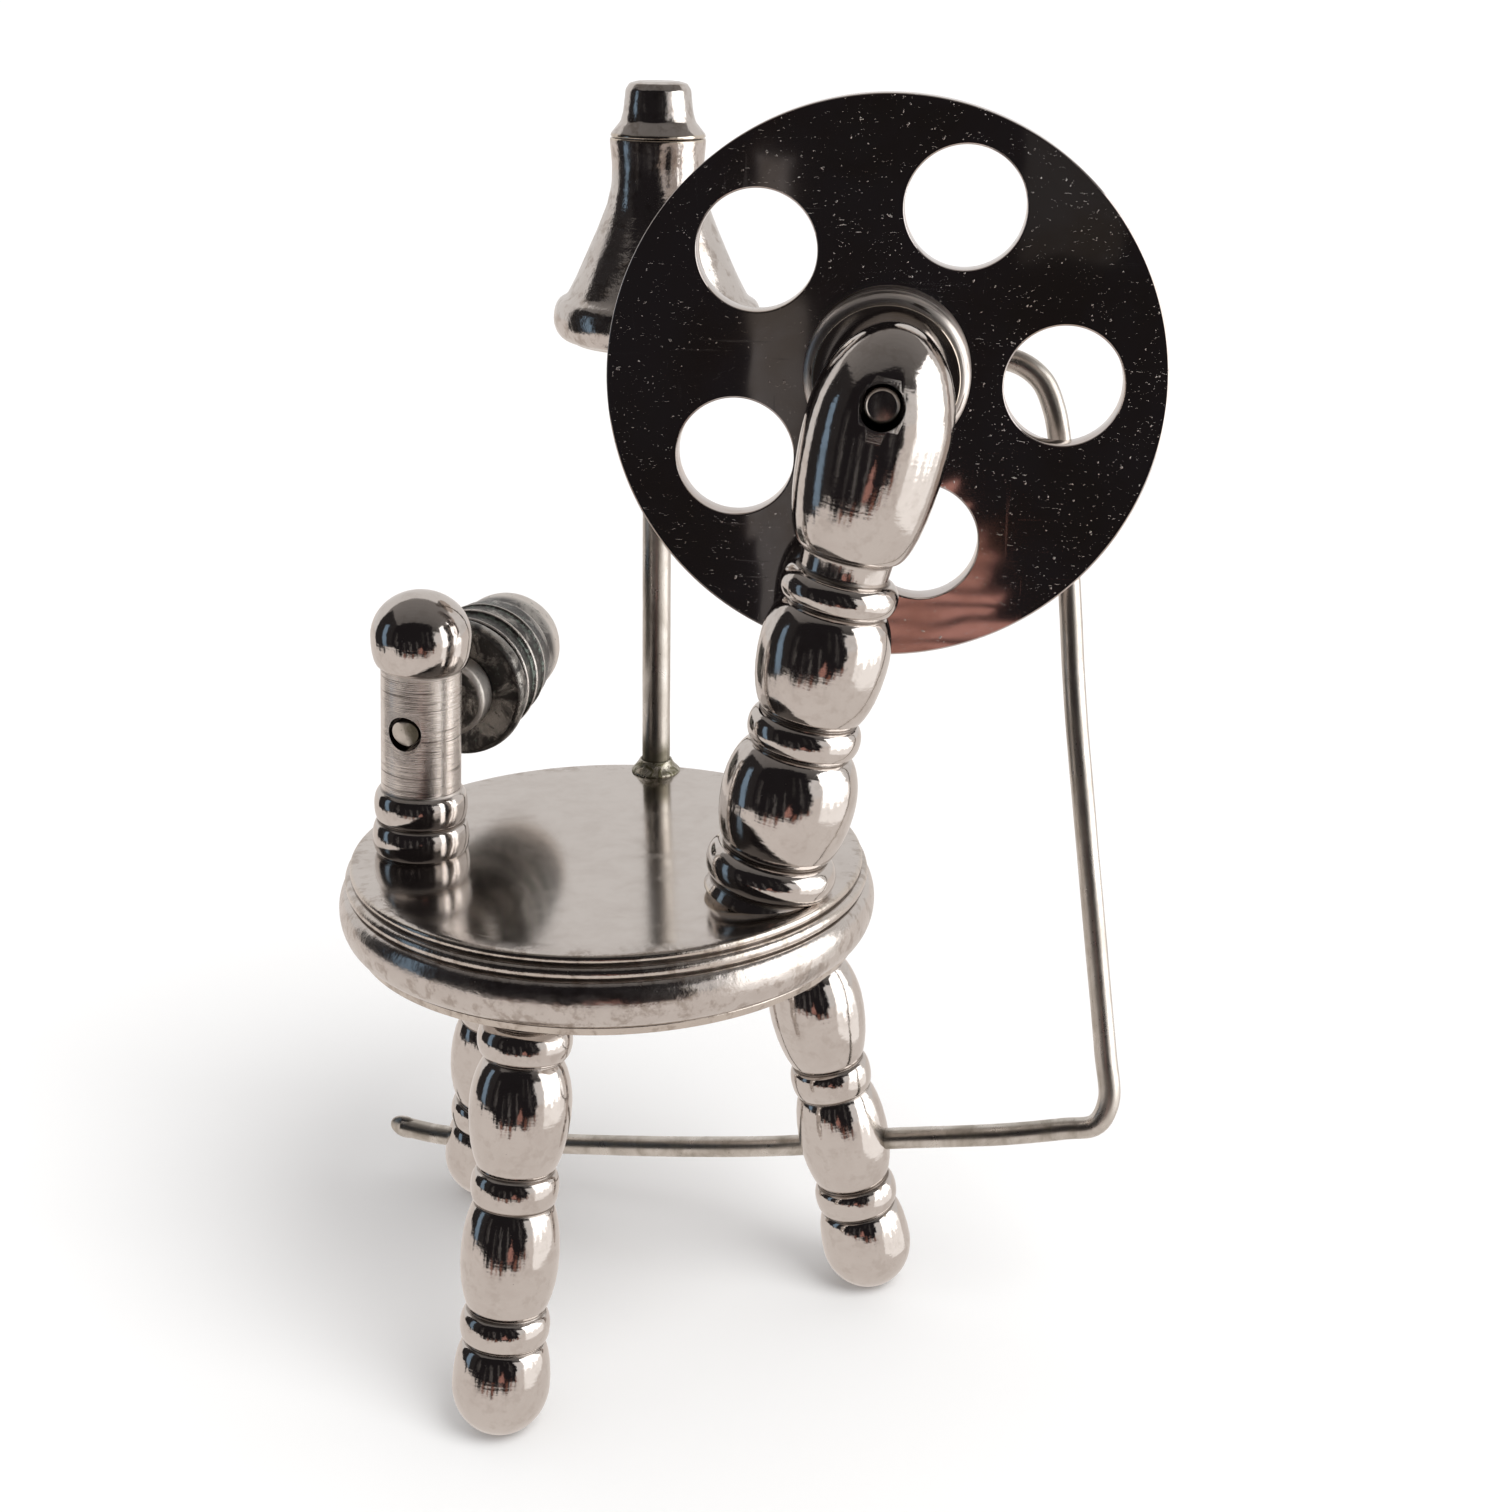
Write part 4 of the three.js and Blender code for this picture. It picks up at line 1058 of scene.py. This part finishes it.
def card(name, corners_mm, colour, strength):
    """A plain card seen only by reflections, given by its outline."""
    paint = bpy.data.materials.new(name)
    paint.use_nodes = True
    paint.node_tree.nodes.clear()
    glow = paint.node_tree.nodes.new("ShaderNodeEmission")
    glow.inputs["Color"].default_value = (*colour, 1)
    glow.inputs["Strength"].default_value = strength
    sink = paint.node_tree.nodes.new("ShaderNodeOutputMaterial")
    paint.node_tree.links.new(glow.outputs[0], sink.inputs["Surface"])
    mesh = bpy.data.meshes.new(name)
    mesh.from_pydata([table_axis + Vector(corner) * MM for corner in corners_mm], [],
                     [tuple(range(len(corners_mm)))])
    mesh.materials.append(paint)
    stand = bpy.data.objects.new(name, mesh)
    bpy.context.collection.objects.link(stand)
    stand.visible_camera = False
    stand.visible_diffuse = False
    stand.visible_shadow = False


ragged = random.Random(5)


def torn_edge(start, end, low, high, step):
    """A ragged line from start to end, its height wandering between low and high."""
    edge = []
    across = start
    while across < end:
        width = ragged.uniform(0.4, 1.6) * step
        height = ragged.uniform(low, high)
        drop = ragged.uniform(-0.1, 0.1) * (high - low)
        edge += [(across, height), (min(across + width, end), height + drop)]
        across += width
    return edge


FLAG_DEPTH = -192
ROOM_DEPTH = -188
STRIP_DEPTH = -186
SCRAP_DEPTH = -184
flag = [(x, FLAG_DEPTH, z) for x, z in torn_edge(-300, 190, -48, -20, 16)]
flag += [(190 - inset, FLAG_DEPTH, z) for z, inset in torn_edge(-50, 330, 0, 40, 26)]
card("black_flag", flag + [(-300, FLAG_DEPTH, 330)], (0.016, 0.014, 0.015), 1.0)
side = [(-300, y, z) for y, z in torn_edge(-192, 110, -48, -20, 20)]
card("side_flag", side + [(-300, 110, 330), (-300, -192, 330)], (0.03, 0.027, 0.027), 1.0)
card("left_strip", [(-292, -100, -20), (-292, -34, -10), (-292, -20, 170), (-292, -70, 210)],
     (0.27, 0.38, 0.50), 0.8)
for strip in range(14):
    low = -15 + strip * 2.9
    left = 3 + min(19, 1.4 * max(0, low - 2)) + ragged.uniform(0, 2)
    right = 38 - 0.35 * max(0, low + 2) + ragged.uniform(-3, 3)
    outline = ((left, low), (right, low + 0.8), (right + 1.5, low + 2.6), (left + 1, low + 2.1))
    card("warm_strip", [(x, STRIP_DEPTH, z) for x, z in outline], (0.62, 0.305, 0.25), 1.0)
for x, width in ((-120, 22), (-74, 12), (-44, 16), (46, 20), (84, 14), (126, 22)):
    scrap = [(place, SCRAP_DEPTH, z) for place, z in torn_edge(x, x + width, -46, -30, 5)]
    scrap += [(place, SCRAP_DEPTH, z) for place, z in reversed(torn_edge(x, x + width, -26, -8, 5))]
    card("warm_scrap", scrap, (0.25, 0.11, 0.08), 1.0)
for _ in range(16):
    x = ragged.uniform(-260, 150)
    width, low, tall = ragged.uniform(4, 16), ragged.uniform(-40, 60), ragged.uniform(30, 150)
    grey = ragged.uniform(0.03, 0.16)
    card("room_shape", [(x, ROOM_DEPTH, low), (x + width, ROOM_DEPTH, low),
                        (x + width * 0.9, ROOM_DEPTH, low + tall),
                        (x + width * 0.2, ROOM_DEPTH, low + tall)], (grey, grey * 0.93, grey * 0.9), 1.0)
window = [(210, y, z) for y, z in torn_edge(-120, 90, -30, 4, 14)]
window += [(210, 90 - inset, z) for z, inset in torn_edge(4, 210, 0, 26, 18)]
card("window", window + [(210, -110, 215), (210, -128, 120)], (1.0, 0.99, 0.98), 2.6)
card("window_sill", [(214, -140, -90), (214, 110, -90), (214, 110, 20), (214, -140, 20)],
     (1.0, 0.96, 0.93), 1.25)
CEILING_STRIPS = 12
for strip in range(CEILING_STRIPS):
    near, far = -420 + 52 * strip, -420 + 52 * (strip + 1)
    grey = 0.05 + 0.21 * (strip / (CEILING_STRIPS - 1)) ** 0.8
    card("ceiling", [(-620, near, 345), (620, near, 345), (620, far, 345), (-620, far, 345)],
         (grey, grey * 0.93, grey * 0.89), 1.0)
card("low_ground", [(-3000, -3000, -125), (3000, -3000, -125), (3000, 3000, -125), (-3000, 3000, -125)],
     (0.80, 0.735, 0.69), 1.0)

sun = bpy.data.lights.new("soft_key", "SUN")
sun.energy = 1.5
sun.angle = math.radians(35)
sun.color = (1.0, 0.985, 0.96)
sun_stand = bpy.data.objects.new("soft_key", sun)
sun_stand.rotation_euler = Vector((-0.55, 0.42, -0.95)).to_track_quat("-Z", "Y").to_euler()
sun_stand.visible_glossy = False
bpy.context.collection.objects.link(sun_stand)
